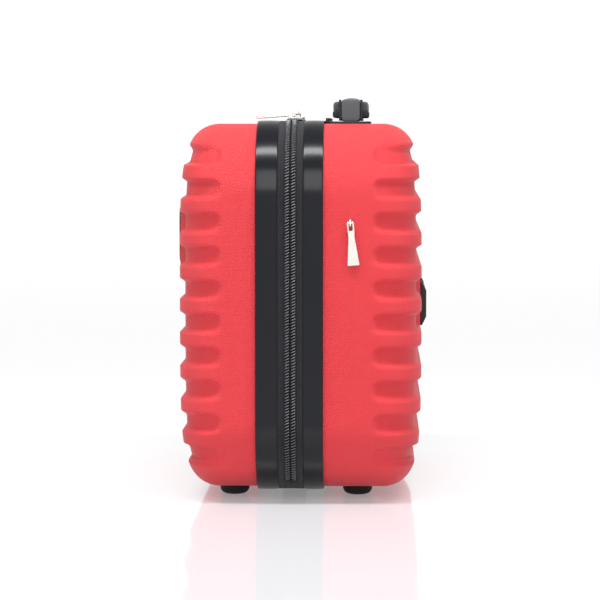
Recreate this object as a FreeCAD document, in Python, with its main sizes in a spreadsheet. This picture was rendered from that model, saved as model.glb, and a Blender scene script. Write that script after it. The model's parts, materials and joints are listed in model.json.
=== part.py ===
import FreeCAD, Part
import math
import os

import Sketcher

# A small hard-shell vanity case that stands upright on four feet. Two ribbed shells meet at a zip that runs
# round both sides and the top; along the bottom the two zip tapes are the hinge.
#
# Frame: X across the case, the front half towards -Y, +Z up, origin on the floor under the case's middle.
# Inside this file y counts from the zip plane; every finished piece is moved by FRAME_SHIFT at the end.

SIZES = {
    # the two shells
    "case_width": 370.0,
    "shell_height": 317.0,
    "front_depth": 96.4,
    "rear_depth": 112.5,
    "corner_radius": 62.0,
    "edge_radius": 34.0,
    "wall": 2.2,
    "shell_edge_gap": 12.3,
    # the recessed bands round both shells
    "groove_pitch": 28.7,
    "groove_height": 14.7,
    "groove_depth": 4.8,
    "groove_raise": 2.6,
    "groove_end_margin": 18.0,
    "pad_margin": 6.0,
    "front_groove_reach": 34.0,
    "rear_groove_reach": 39.0,
    # trims, bindings, zip
    "trim_start": 10.8,
    "front_trim_end": 29.8,
    "rear_trim_end": 28.1,
    "trim_thickness": 2.0,
    "binding_thickness": 2.0,
    "binding_end": 24.0,
    "tape_thickness": 0.8,
    "tape_rise": 1.4,
    "zip_seam": 0.15,
    "coil_width": 5.05,
    "coil_height": 2.2,
    "coil_end_height": 21.0,
    "stop_length": 5.0,
    # slider, staple and tab: the same staple and tab casting serve the zip and the strap
    "slider_length": 17.0,
    "slider_width": 14.0,
    "slider_thickness": 1.4,
    "slider_nose": 4.0,
    "slider_shoulder": 2.8,
    "slider_flange": 1.0,
    "slider_gap": 0.3,
    "slider_spacing": 30.0,
    "staple_radius": 2.65,
    "staple_wire": 1.7,
    "staple_stand": 2.0,
    "pull_droop": 4.0,
    "tab_length": 37.5,
    "tab_thickness": 2.0,
    "tab_top_width": 6.1,
    "tab_neck_width": 5.4,
    "tab_neck": 12.5,
    "tab_end_width": 10.1,
    "tab_bar": 2.2,
    "tab_slot_length": 5.5,
    "tab_slot_width": 3.0,
    "strap_drop": 84.0,
    "strap_offset": 51.2,
    "strap_plate_size": 18.0,
    # carry handle
    "handle_offset": 50.5,
    "handle_plate_width": 40.0,
    "handle_inset": 83.0,
    "plate_corner": 6.0,
    "handle_plate_thickness": 2.0,
    "handle_plate_shift": -2.0,
    "handle_lip": 3.0,
    "lip_inset": 8.0,
    "mount_width": 16.4,
    "mount_length": 14.0,
    "mount_height": 19.3,
    "mount_round": 4.0,
    "round_middle": 0.3,
    "mount_inset": 15.0,
    "screw_spread": 4.82,
    "grip_gap": 10.0,
    "grip_taper": 0.4,
    "grip_width": 32.2,
    "grip_clearance": 3.0,
    "grip_lower_height": 6.8,
    "grip_upper_height": 7.7,
    "grip_crown": 3.9,
    "grip_round": 2.4,
    "grip_lift": 13.0,
    "fork_thickness": 1.8,
    "fork_clearance": 0.35,
    "fork_height": 18.6,
    "fork_stand": 0.5,
    "fork_tongue": 18.0,
    "pin_radius": 1.5,
    "pin_height": 3.6,
    "pin_clearance": 0.3,
    "screw_radius": 1.75,
    "screw_head_radius": 3.4,
    "screw_bite": 2.0,
    "screw_head_height": 1.7,
    "backing_thickness": 1.2,
    # strap guide on the back
    "guide_width": 140.0,
    "guide_height": 39.0,
    "guide_proud": 5.6,
    "guide_raise": -2.0,
    "guide_slot": 3.6,
    "guide_end": 18.0,
    "guide_chamfer_height": 8.0,
    "guide_chamfer": 3.8,
    # badge
    "badge_width": 70.0,
    "badge_inset": 45.0,
    "badge_height": 48.0,
    "badge_thickness": 1.7,
    "badge_raise": 62.2,
    "badge_round": 9.0,
    "badge_stud_spacing": 40.0,
    # feet
    "foot_height": 9.5,
    "foot_radius": 13.0,
    "foot_flat_radius": 7.5,
    "foot_inset": 80.0,
    "foot_bulge": 0.72,
    "foot_bulge_share": 0.25,
    "foot_bore_share": 0.375,
    "foot_shoulder": 0.65,
    "front_foot_offset": 51.5,
    "rear_foot_offset": 57.2,
    # lining
    "lining_clearance": 0.3,
    "lining_thickness": 1.0,
    "pocket_width": 250.0,
    "pocket_height": 120.0,
    "pocket_thickness": 4.0,
    "pocket_rise": 42.5,
}

doc = FreeCAD.newDocument("vanity_case")
sheet = doc.addObject("Spreadsheet::Sheet", "sizes")
for row, (alias, number) in enumerate(SIZES.items(), start=1):
    sheet.set(f"A{row}", alias)
    sheet.set(f"B{row}", str(number))
    sheet.setAlias(f"B{row}", alias)
doc.recompute()

SHELL_LOW = "sizes.foot_height"
SHELL_HIGH = "(sizes.foot_height + sizes.shell_height)"
SHELL_MIDDLE = "(sizes.foot_height + sizes.shell_height / 2)"
HALF_WIDTH = "(sizes.case_width / 2)"
TAPE_TOP = "(sizes.tape_rise + sizes.tape_thickness)"
COIL_TOP = f"({TAPE_TOP} + sizes.coil_height)"
LINING_INSET = "(sizes.wall + sizes.groove_depth + sizes.lining_clearance)"
PLATE_TOP = f"({SHELL_HIGH} + sizes.handle_plate_thickness)"
GRIP_LOW = f"({PLATE_TOP} + sizes.grip_clearance)"
GRIP_SPLIT = f"({GRIP_LOW} + sizes.grip_lower_height)"
STRAP_HEIGHT = f"({SHELL_HIGH} - sizes.strap_drop)"
HANDLE_END = f"({HALF_WIDTH} - sizes.handle_inset)"
MOUNT_PLACE = f"({HANDLE_END} - sizes.mount_inset)"
GRIP_END = f"({MOUNT_PLACE} - sizes.grip_gap)"
FOOT_PLACE = f"({HALF_WIDTH} - sizes.foot_inset)"
GUIDE_MIDDLE = f"({SHELL_MIDDLE} + sizes.guide_raise)"
GUIDE_LOW = f"({GUIDE_MIDDLE} - sizes.guide_height / 2)"
GUIDE_HIGH = f"({GUIDE_MIDDLE} + sizes.guide_height / 2)"
BADGE_MIDDLE = f"({SHELL_MIDDLE} + sizes.badge_raise)"
BADGE_FAR = f"({HALF_WIDTH} - sizes.badge_inset)"
BADGE_NEAR = f"({BADGE_FAR} - sizes.badge_width)"
# The box that bounds the case runs from the badge's face to the strap guide's face; y = 0 is its middle.
FRAME_SHIFT = "(sizes.front_depth + sizes.badge_thickness - sizes.rear_depth - sizes.guide_proud) / 2"
# how far a cutting tool runs past the outside of a piece, and past a thin wall or a seam
OVERCUT = 5.0
CLEAR = 1.0
# the least volume in mm3 that a pocket must take away
LEAST_CUT = 1.0
INSIDE_START = f"(sizes.shell_edge_gap - {CLEAR})"
nodes = []


def value(expression):
    """An expression's number."""
    return float(sheet.evalExpression(str(expression)))


# ---------------------------------------------------------------- shapes whose sizes are bound to the sheet


def bind(item, properties):
    for name, expression in properties.items():
        item.setExpression(name, str(expression))
    return item


def place(item, x, y, z):
    return bind(item, {"Placement.Base.x": x, "Placement.Base.y": y, "Placement.Base.z": z})


def box(name, low, size):
    item = doc.addObject("Part::Box", name)
    bind(item, dict(zip(("Length", "Width", "Height"), size)))
    return place(item, *low)


def rod(name, start, radius, length, axis="z"):
    """A cylinder from start along +x, +y or +z."""
    item = doc.addObject("Part::Cylinder", name)
    bind(item, {"Radius": radius, "Height": length})
    turn = {"z": ((0, 0, 1), 0), "x": ((0, 1, 0), 90), "y": ((1, 0, 0), -90)}[axis]
    item.Placement = FreeCAD.Placement(FreeCAD.Vector(), FreeCAD.Rotation(FreeCAD.Vector(*turn[0]), turn[1]))
    return place(item, *start)


def cut(name, base, tool):
    item = doc.addObject("Part::Cut", name)
    item.Base = base
    item.Tool = tool
    return item


def fuse(name, shapes):
    item = doc.addObject("Part::MultiFuse", name)
    item.Shapes = shapes
    return item


def group(name, shapes):
    item = doc.addObject("Part::Compound", name)
    item.Links = shapes
    return item


def node(item, label, x="0", y="0", z="0"):
    """Mark an object as a finished piece, with its place counted from the zip plane."""
    item.Label = label
    place(item, x, f"({y}) + {FRAME_SHIFT}", z)
    nodes.append(item)
    return item


# ---------------------------------------------------------------- sketches and the bodies made from them


def origin_plane(body, role):
    return [feature for feature in body.Origin.OriginFeatures if feature.Role == role][0]


def sketch_on(body, name, role, offset="0"):
    sketch = body.newObject("Sketcher::SketchObject", name)
    sketch.AttachmentSupport = [(origin_plane(body, role), "")]
    sketch.MapMode = "FlatFace"
    sketch.setExpression("AttachmentOffset.Base.z", str(offset))
    return sketch


def locate(sketch, element, point, across, up):
    """Tie one point of a sketch element to the sketch's origin by two expressions."""
    for kind, expression in (("DistanceX", across), ("DistanceY", up)):
        tie = Sketcher.Constraint(kind, -1, 1, element, point, value(expression))
        index = sketch.addConstraint(tie)
        sketch.setExpression(f"Constraints[{index}]", str(expression))


def polygon(sketch, corners):
    """A closed outline of straight lines through corners given as pairs of expressions."""
    first = sketch.GeometryCount
    count = len(corners)
    spots = [FreeCAD.Vector(value(across), value(up), 0) for across, up in corners]
    for i in range(count):
        sketch.addGeometry(Part.LineSegment(spots[i], spots[(i + 1) % count]), False)
    for i in range(count):
        sketch.addConstraint(Sketcher.Constraint("Coincident", first + i, 2, first + (i + 1) % count, 1))
        locate(sketch, first + i, 1, *corners[i])


def rounded_rectangle(sketch, left, right, low, high, radius):
    """A rectangle with four equal round corners, its sides and radius given as expressions."""
    first = sketch.GeometryCount
    x0, x1, z0, z1, r = (value(item) for item in (left, right, low, high, radius))
    centres = [(x1 - r, z0 + r), (x1 - r, z1 - r), (x0 + r, z1 - r), (x0 + r, z0 + r)]
    centre_ties = [
        (f"{right} - {radius}", f"{low} + {radius}"),
        (f"{right} - {radius}", f"{high} - {radius}"),
        (f"{left} + {radius}", f"{high} - {radius}"),
        (f"{left} + {radius}", f"{low} + {radius}"),
    ]
    for corner, (x, z) in enumerate(centres):
        circle = Part.Circle(FreeCAD.Vector(x, z, 0), FreeCAD.Vector(0, 0, 1), r)
        start = math.radians(90 * corner - 90)
        sketch.addGeometry(Part.ArcOfCircle(circle, start, start + math.pi / 2), False)
    for corner in range(4):
        begin = sketch.getPoint(first + corner, 2)
        end = sketch.getPoint(first + (corner + 1) % 4, 1)
        sketch.addGeometry(Part.LineSegment(begin, end), False)
    for corner in range(4):
        line = first + 4 + corner
        sketch.addConstraint(Sketcher.Constraint("Tangent", first + corner, 2, line, 1))
        sketch.addConstraint(Sketcher.Constraint("Tangent", line, 2, first + (corner + 1) % 4, 1))
        locate(sketch, first + corner, 3, *centre_ties[corner])
    index = sketch.addConstraint(Sketcher.Constraint("Radius", first, r))
    sketch.setExpression(f"Constraints[{index}]", str(radius))


def pad(body, name, sketch, length, reverse=False, middle=False):
    feature = body.newObject("PartDesign::Pad", name)
    feature.Profile = sketch
    feature.Reversed = reverse
    feature.SideType = "Symmetric" if middle else "One side"
    feature.setExpression("Length", str(length))
    sketch.Visibility = False
    doc.recompute()
    return feature


def pocket_through(body, name, sketch):
    feature = body.newObject("PartDesign::Pocket", name)
    feature.Profile = sketch
    feature.Type = "ThroughAll"
    feature.SideType = "Symmetric"
    before = body.Shape.Volume
    doc.recompute()
    if feature.Shape.Volume > before - LEAST_CUT:
        raise ValueError(f"{name} cuts nothing")
    return feature


def fillet(body, name, base, names, radius):
    feature = body.newObject("PartDesign::Fillet", name)
    feature.Base = (base, names)
    feature.setExpression("Radius", str(radius))
    doc.recompute()
    return feature


def outermost_face(shape, direction):
    """The name of the flat face that lies furthest along direction."""
    best = max(
        (index for index, face in enumerate(shape.Faces) if face.Surface.TypeId == "Part::GeomPlane"),
        key=lambda index: shape.Faces[index].CenterOfMass.dot(direction),
    )
    return f"Face{best + 1}"


# ---------------------------------------------------------------- blocks and rings along the case's outline


def outline(sketch, offset):
    """The case's outline in the X-Z plane, grown outwards by offset."""
    rounded_rectangle(
        sketch,
        f"(-{HALF_WIDTH} - ({offset}))",
        f"({HALF_WIDTH} + ({offset}))",
        f"({SHELL_LOW} - ({offset}))",
        f"({SHELL_HIGH} + ({offset}))",
        f"(sizes.corner_radius + ({offset}))",
    )


def from_zip(body, name, side, start):
    """A sketch parallel to the zip plane, at a distance from it on one side."""
    sign = "" if side == "front" else "-"
    return sketch_on(body, name, "XZ_Plane", f"{sign}({start})")


def half_block(name, side, start, inset):
    """One half's rounded block, inset from the shell's outer surface."""
    body = doc.addObject("PartDesign::Body", name)
    sketch = from_zip(body, f"{name}_outline", side, start)
    outline(sketch, f"-({inset})")
    length = f"sizes.{side}_depth - ({inset}) - ({start})"
    block = pad(body, f"{name}_pad", sketch, length, reverse=side == "rear")
    outward = FreeCAD.Vector(0, -1 if side == "front" else 1, 0)
    face = outermost_face(block.Shape, outward)
    fillet(body, f"{name}_edge", block, [face], f"sizes.edge_radius - ({inset})")
    return body


def ring(name, side, steps):
    """A ring round the case, made of steps (start, end, outer offset, inner offset)."""
    body = doc.addObject("PartDesign::Body", name)
    for number, (start, end, outer, inner) in enumerate(steps):
        sketch = from_zip(body, f"{name}_outline{number}", side, start)
        outline(sketch, outer)
        outline(sketch, inner)
        pad(body, f"{name}_pad{number}", sketch, f"({end}) - ({start})", reverse=side == "rear")
    return body


def groove_count():
    """How many bands fit between the plain margins at the shell's top and bottom."""
    room = value("sizes.shell_height - 2 * sizes.groove_end_margin - sizes.groove_height")
    return int(room / value("sizes.groove_pitch")) + 1


def groove_bars(name, side, grow):
    """Bars across the case where the bands are, grown on every side by grow."""
    count = groove_count()
    reach = f"(sizes.{side}_groove_reach + {grow})"
    start = f"-(sizes.front_depth + {OVERCUT})"
    if side == "rear":
        start = f"sizes.rear_depth - {reach}"
    bars = []
    for number in range(count):
        middle = f"{SHELL_MIDDLE} + sizes.groove_raise + ({number} - {count - 1} / 2) * sizes.groove_pitch"
        low = (
            f"-{HALF_WIDTH} - {OVERCUT}",
            start,
            f"{middle} - sizes.groove_height / 2 - {grow}",
        )
        size = (
            f"sizes.case_width + 2 * {OVERCUT}",
            f"{reach} + {OVERCUT}",
            f"sizes.groove_height + 2 * {grow}",
        )
        bars.append(box(f"{name}_{number}", low, size))
    return fuse(name, bars)


def grooved_block(name, side, start, inset, grow):
    """A half block with the recessed bands cut into it."""
    blank = half_block(f"{name}_blank", side, start, inset)
    core = half_block(f"{name}_core", side, start, f"({inset} + sizes.groove_depth)")
    kept = fuse(f"{name}_kept", [core, plain_pad(f"{name}_pad_block", side, grow)])
    bands = cut(f"{name}_bands", groove_bars(f"{name}_bars", side, grow), kept)
    return cut(name, blank, bands)


def plain_pad(name, side, shrink):
    """A block over the place where the badge or the strap guide sits, which has no bands."""
    if side == "front":
        left, right, middle, height = BADGE_NEAR, BADGE_FAR, BADGE_MIDDLE, "sizes.badge_height"
        start = f"-(sizes.front_depth + {OVERCUT})"
    else:
        left, right = "-sizes.guide_width / 2", "sizes.guide_width / 2"
        middle, height = GUIDE_MIDDLE, "sizes.guide_height"
        start = "sizes.rear_depth - 2 * sizes.groove_depth"
    margin = f"(sizes.pad_margin - ({shrink}))"
    low = (f"{left} - {margin}", start, f"{middle} - ({height}) / 2 - {margin}")
    size = (
        f"{right} - ({left}) + 2 * {margin}",
        f"2 * sizes.groove_depth + {OVERCUT}",
        f"{height} + 2 * {margin}",
    )
    return box(name, low, size)


# ---------------------------------------------------------------- the pieces that both halves have


def signed(side, distance):
    return f"-({distance})" if side == "front" else f"({distance})"


def shell(side, holes):
    """A vacuum-formed shell of even thickness, ribbed inside as outside, with its screw holes."""
    outer = grooved_block(f"{side}_outside", side, "sizes.shell_edge_gap", "0", "0")
    inner = grooved_block(f"{side}_inside", side, INSIDE_START, "sizes.wall", "sizes.wall")
    hollow = cut(f"{side}_hollow", outer, inner)
    node(cut(f"{side}_shell_cut", hollow, fuse(f"{side}_holes", holes)), f"{side}_shell")


def edge_pieces(side):
    """Trim, zip tape, zip coil and inner binding, from the outside in."""
    trim = ring(
        f"{side}_trim_body",
        side,
        [
            (
                "sizes.trim_start",
                f"sizes.{side}_trim_end",
                "sizes.tape_thickness + sizes.trim_thickness",
                "sizes.tape_thickness",
            )
        ],
    )
    node(trim, f"{side}_trim")
    tape = ring(
        f"{side}_tape_body",
        side,
        [
            (
                "sizes.trim_start - sizes.tape_thickness",
                "sizes.binding_end",
                "sizes.tape_thickness",
                "0",
            ),
            (
                "sizes.trim_start - sizes.tape_thickness",
                "sizes.trim_start",
                TAPE_TOP,
                "0",
            ),
            ("sizes.zip_seam", "sizes.trim_start", TAPE_TOP, "sizes.tape_rise"),
        ],
    )
    node(tape, f"{side}_zip_tape")
    coil_ring = ring(
        f"{side}_coil_ring",
        side,
        [("sizes.zip_seam", "sizes.zip_seam + sizes.coil_width", COIL_TOP, TAPE_TOP)],
    )
    below = box(
        f"{side}_below_coil",
        ("-sizes.case_width", "-sizes.case_width / 2", f"-{OVERCUT}"),
        ("2 * sizes.case_width", "sizes.case_width", f"sizes.coil_end_height + {OVERCUT}"),
    )
    node(cut(f"{side}_coil_cut", coil_ring, below), f"{side}_zip_coil")
    binding = ring(
        f"{side}_binding_body",
        side,
        [
            ("sizes.trim_start", "sizes.shell_edge_gap", "0", f"-({LINING_INSET} + sizes.lining_thickness)"),
            (
                "sizes.trim_start",
                "sizes.binding_end",
                "-sizes.wall",
                "-(sizes.wall + sizes.binding_thickness)",
            ),
        ],
    )
    node(binding, f"{side}_binding")


def zip_stops(side):
    """Two metal stops, one at each lower end of the coil, on the outline's round corners."""
    radius = f"(sizes.corner_radius + {TAPE_TOP})"
    drop = f"({SHELL_LOW} + sizes.corner_radius - sizes.coil_end_height)"
    reach = f"({HALF_WIDTH} - sizes.corner_radius + sqrt({radius} ^ 2 - {drop} ^ 2))"
    slope = math.degrees(math.asin(value(f"{drop} / {radius}")))
    stop_y = signed(side, "sizes.zip_seam") + (" - sizes.coil_width" if side == "front" else "")
    stops = []
    for hand, sign in (("left", -1), ("right", 1)):
        stop = doc.addObject("Part::Box", f"{side}_stop_{hand}")
        size = {"Length": "sizes.stop_length", "Width": "sizes.coil_width", "Height": "sizes.coil_height"}
        bind(stop, size)
        # turned so that its height points straight out from the round corner
        spin = FreeCAD.Rotation(FreeCAD.Vector(0, 1, 0), sign * (90 + slope))
        stop.Placement = FreeCAD.Placement(FreeCAD.Vector(), spin)
        # the left stop's length runs up the corner, so it starts one length further down
        back = -spin.multVec(FreeCAD.Vector(1, 0, 0)) if hand == "left" else FreeCAD.Vector()
        place(
            stop,
            f"{sign} * {reach} + sizes.stop_length * {back.x}",
            stop_y,
            f"sizes.coil_end_height + sizes.stop_length * {back.z}",
        )
        stops.append(stop)
    node(group(f"{side}_stop_pair", stops), f"{side}_zip_stops")


def lining(side):
    """A sewn fabric lining: a thin cup that stands clear of the ribs."""
    outer = half_block(f"{side}_lining_outside", side, "sizes.shell_edge_gap", LINING_INSET)
    inner_inset = f"({LINING_INSET} + sizes.lining_thickness)"
    inner = half_block(f"{side}_lining_inside", side, INSIDE_START, inner_inset)
    node(cut(f"{side}_lining_cut", outer, inner), f"{side}_lining")


def feet(side):
    """Two turned feet and the screws that hold them from inside."""
    screws = []
    for number, (hand, sign) in enumerate((("left", -1), ("right", 1))):
        body = doc.addObject("PartDesign::Body", f"{side}_foot_{hand}_body")
        profile = sketch_on(body, f"{side}_foot_{hand}_profile", "XZ_Plane")
        bore_top = "sizes.foot_height"
        bore_low = "sizes.foot_height * sizes.foot_bore_share"
        bulge = "sizes.foot_flat_radius + sizes.foot_bulge * (sizes.foot_radius - sizes.foot_flat_radius)"
        corners = [
            ("0", "0"),
            ("sizes.foot_flat_radius", "0"),
            (bulge, "sizes.foot_height * sizes.foot_bulge_share"),
            ("sizes.foot_radius", "sizes.foot_height * sizes.foot_shoulder"),
            ("sizes.foot_radius", bore_top),
            ("sizes.screw_radius", bore_top),
            ("sizes.screw_radius", bore_low),
            ("0", bore_low),
        ]
        polygon(profile, corners)
        spun = body.newObject("PartDesign::Revolution", f"{side}_foot_{hand}_turned")
        spun.Profile = profile
        spun.ReferenceAxis = (profile, ["V_Axis"])
        doc.recompute()
        x = f"{sign} * {FOOT_PLACE}"
        y = signed(side, f"sizes.{side}_foot_offset")
        node(body, f"{side}_foot_{hand}", x, y)
        shank = rod(
            f"{side}_foot_shank{number}",
            (x, y, bore_low),
            "sizes.screw_radius",
            f"{SHELL_LOW} + sizes.wall - {bore_low}",
        )
        head = rod(
            f"{side}_foot_head{number}",
            (x, y, f"{SHELL_LOW} + sizes.wall"),
            "sizes.screw_head_radius",
            "sizes.screw_head_height",
        )
        screws.append(fuse(f"{side}_foot_screw{number}", [shank, head]))
    node(group(f"{side}_foot_screw_pair", screws), f"{side}_foot_screws")


def foot_holes(side):
    y = signed(side, f"sizes.{side}_foot_offset")
    return [
        rod(
            f"{side}_foot_hole{number}",
            (f"{sign} * {FOOT_PLACE}", y, f"{SHELL_LOW} - {CLEAR}"),
            "sizes.screw_radius",
            f"sizes.wall + 2 * {CLEAR}",
        )
        for number, sign in enumerate((-1, 1))
    ]


# ---------------------------------------------------------------- staple and tab

# Both are drawn about the staple's own hinge line, which is X, with the plate they stand on below (-Z).


def staple(name, leg):
    """A wire arch over the hinge line, with legs of a given length below it."""
    arch = doc.addObject("Part::Torus", f"{name}_arch")
    bind(arch, {"Radius1": "sizes.staple_radius", "Radius2": "sizes.staple_wire / 2"})
    arch.Angle3 = 180
    # turns the torus's axis to X and its half ring to +Z
    arch.Placement = FreeCAD.Placement(FreeCAD.Vector(), FreeCAD.Rotation(FreeCAD.Vector(1, 1, 1), 120))
    legs = [
        rod(
            f"{name}_leg{number}",
            ("0", f"{sign} * sizes.staple_radius", f"-({leg})"),
            "sizes.staple_wire / 2",
            leg,
        )
        for number, sign in enumerate((-1, 1))
    ]
    return fuse(name, [arch, *legs])


def tab(name):
    """A cast tapered tab with a slotted eye, lying towards -Y from the hinge line."""
    body = doc.addObject("PartDesign::Body", name)
    profile = sketch_on(body, f"{name}_outline", "XY_Plane")
    top = "sizes.tab_bar / 2"
    end = "sizes.tab_bar / 2 - sizes.tab_length"
    half = [
        ("sizes.tab_top_width / 2", top),
        ("sizes.tab_top_width / 2", "-sizes.tab_slot_length - sizes.tab_bar / 2"),
        ("sizes.tab_neck_width / 2", "sizes.tab_bar / 2 - sizes.tab_neck"),
        ("sizes.tab_end_width / 2", end),
    ]
    polygon(profile, half + [(f"-{across}", up) for across, up in reversed(half)])
    slot = "sizes.tab_slot_width / 2"
    high = "-sizes.tab_bar / 2"
    low = "-sizes.tab_slot_length - sizes.tab_bar / 2"
    polygon(profile, [(slot, high), (slot, low), (f"-{slot}", low), (f"-{slot}", high)])
    pad(body, f"{name}_pad", profile, "sizes.tab_thickness", middle=True)
    return body


# ---------------------------------------------------------------- zip sliders and pulls

SLIDER_LOW = f"({SHELL_HIGH} + {COIL_TOP} + sizes.slider_gap)"
PULL_AXIS = f"({SLIDER_LOW} + sizes.slider_thickness + sizes.staple_stand)"


def zip_slider(hand, sign):
    """The slider's top plate with its rear flange and the staple that carries the pull."""
    name = f"slider_{hand}"
    body = doc.addObject("PartDesign::Body", f"{name}_plate")
    profile = sketch_on(body, f"{name}_outline", "XY_Plane", SLIDER_LOW)
    nose = "sizes.slider_length / 2"
    shoulder = "sizes.slider_shoulder"
    side = "sizes.slider_width / 2"
    narrow = "sizes.slider_nose"
    polygon(
        profile,
        [
            (f"-{nose}", f"-{narrow}"),
            (f"-{shoulder}", f"-{side}"),
            (nose, f"-{side}"),
            (nose, side),
            (f"-{shoulder}", side),
            (f"-{nose}", narrow),
        ],
    )
    pad(body, f"{name}_pad", profile, "sizes.slider_thickness")
    if sign < 0:
        body.Placement = FreeCAD.Placement(FreeCAD.Vector(), FreeCAD.Rotation(FreeCAD.Vector(0, 0, 1), 180))
    flange_low = f"({SHELL_HIGH} + {TAPE_TOP} + sizes.slider_gap)"
    flange = box(
        f"{name}_flange",
        (f"-{shoulder}", f"{side} - sizes.slider_flange", flange_low),
        (f"2 * {shoulder}", "sizes.slider_flange", f"{SLIDER_LOW} - {flange_low}"),
    )
    arch = staple(f"{name}_staple", "sizes.staple_stand")
    place(arch, "0", "0", PULL_AXIS)
    whole = fuse(f"{name}_whole", [body, flange, arch])
    place_x = f"{sign} * sizes.slider_spacing / 2"
    node(whole, f"zip_slider_{hand}", place_x)
    pull = tab(f"pull_{hand}_body")
    # the pull hangs forward and a little down from its staple
    droop = FreeCAD.Rotation(FreeCAD.Vector(1, 0, 0), value("sizes.pull_droop"))
    pull.Placement = FreeCAD.Placement(FreeCAD.Vector(), droop)
    node(pull, f"zip_pull_{hand}", place_x, "0", PULL_AXIS)


# ---------------------------------------------------------------- strap tabs on the rear shell's two sides

SIDE_STAND = f"({HALF_WIDTH} + sizes.staple_stand)"


def strap_tab(hand, sign):
    """A wire staple through the shell's side, its backing plate inside, and the tab that hangs from it."""
    # hinge line X to Y, plate normal Z to +X, and the mirror image on the left
    turn = FreeCAD.Rotation(FreeCAD.Vector(1, 1, 1), 120)
    if sign < 0:
        turn = FreeCAD.Rotation(FreeCAD.Vector(0, 0, 1), 180).multiply(turn)
    x = f"{sign} * {SIDE_STAND}"
    leg = "(sizes.staple_stand + sizes.wall + sizes.backing_thickness)"
    arch = staple(f"strap_staple_{hand}_wire", leg)
    arch.Placement = FreeCAD.Placement(FreeCAD.Vector(), turn)
    node(arch, f"strap_staple_{hand}", x, "sizes.strap_offset", STRAP_HEIGHT)
    half_plate = "sizes.strap_plate_size / 2"
    inner = f"({HALF_WIDTH} - sizes.wall)"
    plate = box(
        f"strap_plate_{hand}_blank",
        (
            inner + " - sizes.backing_thickness" if sign > 0 else f"-{inner}",
            f"sizes.strap_offset - {half_plate}",
            f"{STRAP_HEIGHT} - {half_plate}",
        ),
        ("sizes.backing_thickness", "sizes.strap_plate_size", "sizes.strap_plate_size"),
    )
    holes = fuse(f"strap_plate_{hand}_holes", staple_holes(f"strap_plate_{hand}", sign))
    node(cut(f"strap_plate_{hand}_cut", plate, holes), f"strap_plate_{hand}")
    hanging = tab(f"strap_tab_{hand}_body")
    hanging.Placement = FreeCAD.Placement(FreeCAD.Vector(), turn)
    node(hanging, f"strap_tab_{hand}", x, "sizes.strap_offset", STRAP_HEIGHT)


def staple_holes(name, sign):
    """The two holes that a side staple's legs pass through."""
    depth = f"(sizes.wall + sizes.backing_thickness + 2 * {CLEAR})"
    start = f"{HALF_WIDTH} + {CLEAR} - {depth}" if sign > 0 else f"-({HALF_WIDTH} + {CLEAR})"
    return [
        rod(
            f"{name}_hole{number}",
            (start, "sizes.strap_offset", f"{STRAP_HEIGHT} + {step} * sizes.staple_radius"),
            "sizes.staple_wire / 2",
            depth,
            axis="x",
        )
        for number, step in enumerate((-1, 1))
    ]


# ---------------------------------------------------------------- carry handle on the top of the rear shell

MOUNT_Y = "sizes.handle_offset"


def handle_screw_places():
    """Where the four screws of the two end mounts stand."""
    return [
        (f"{end} * {MOUNT_PLACE}", f"{MOUNT_Y} + {across} * sizes.screw_spread")
        for end in (-1, 1)
        for across in (-1, 1)
    ]


def handle_holes():
    return [
        rod(
            f"handle_hole{number}",
            (x, y, f"{SHELL_HIGH} - sizes.wall - {CLEAR}"),
            "sizes.screw_radius",
            f"sizes.wall + 2 * {CLEAR}",
        )
        for number, (x, y) in enumerate(handle_screw_places())
    ]


def handle_base():
    """The moulded plate under the handle, with a low lip along its edge by the zip."""
    front = f"{MOUNT_Y} + sizes.handle_plate_shift - sizes.handle_plate_width / 2"
    body = doc.addObject("PartDesign::Body", "handle_plate_body")
    profile = sketch_on(body, "handle_plate_outline", "XY_Plane", SHELL_HIGH)
    back = f"({front} + sizes.handle_plate_width)"
    rounded_rectangle(profile, f"-{HANDLE_END}", HANDLE_END, f"({front})", back, "sizes.plate_corner")
    pad(body, "handle_plate_pad", profile, "sizes.handle_plate_thickness")
    lip_length = f"2 * ({HANDLE_END} - sizes.lip_inset)"
    lip_height = "sizes.handle_plate_thickness + sizes.handle_lip"
    lip = box(
        "handle_lip_bar",
        (f"-{HANDLE_END} + sizes.lip_inset", front, SHELL_HIGH),
        (lip_length, "sizes.handle_lip", lip_height),
    )
    plate = fuse("handle_plate_with_lip", [body, lip])
    holes = [
        rod(
            f"handle_plate_hole{number}",
            (x, y, f"{SHELL_HIGH} - {CLEAR}"),
            "sizes.screw_radius",
            f"sizes.handle_plate_thickness + 2 * {CLEAR}",
        )
        for number, (x, y) in enumerate(handle_screw_places())
    ]
    node(cut("handle_plate_cut", plate, fuse("handle_plate_holes", holes)), "handle_base_plate")


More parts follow.
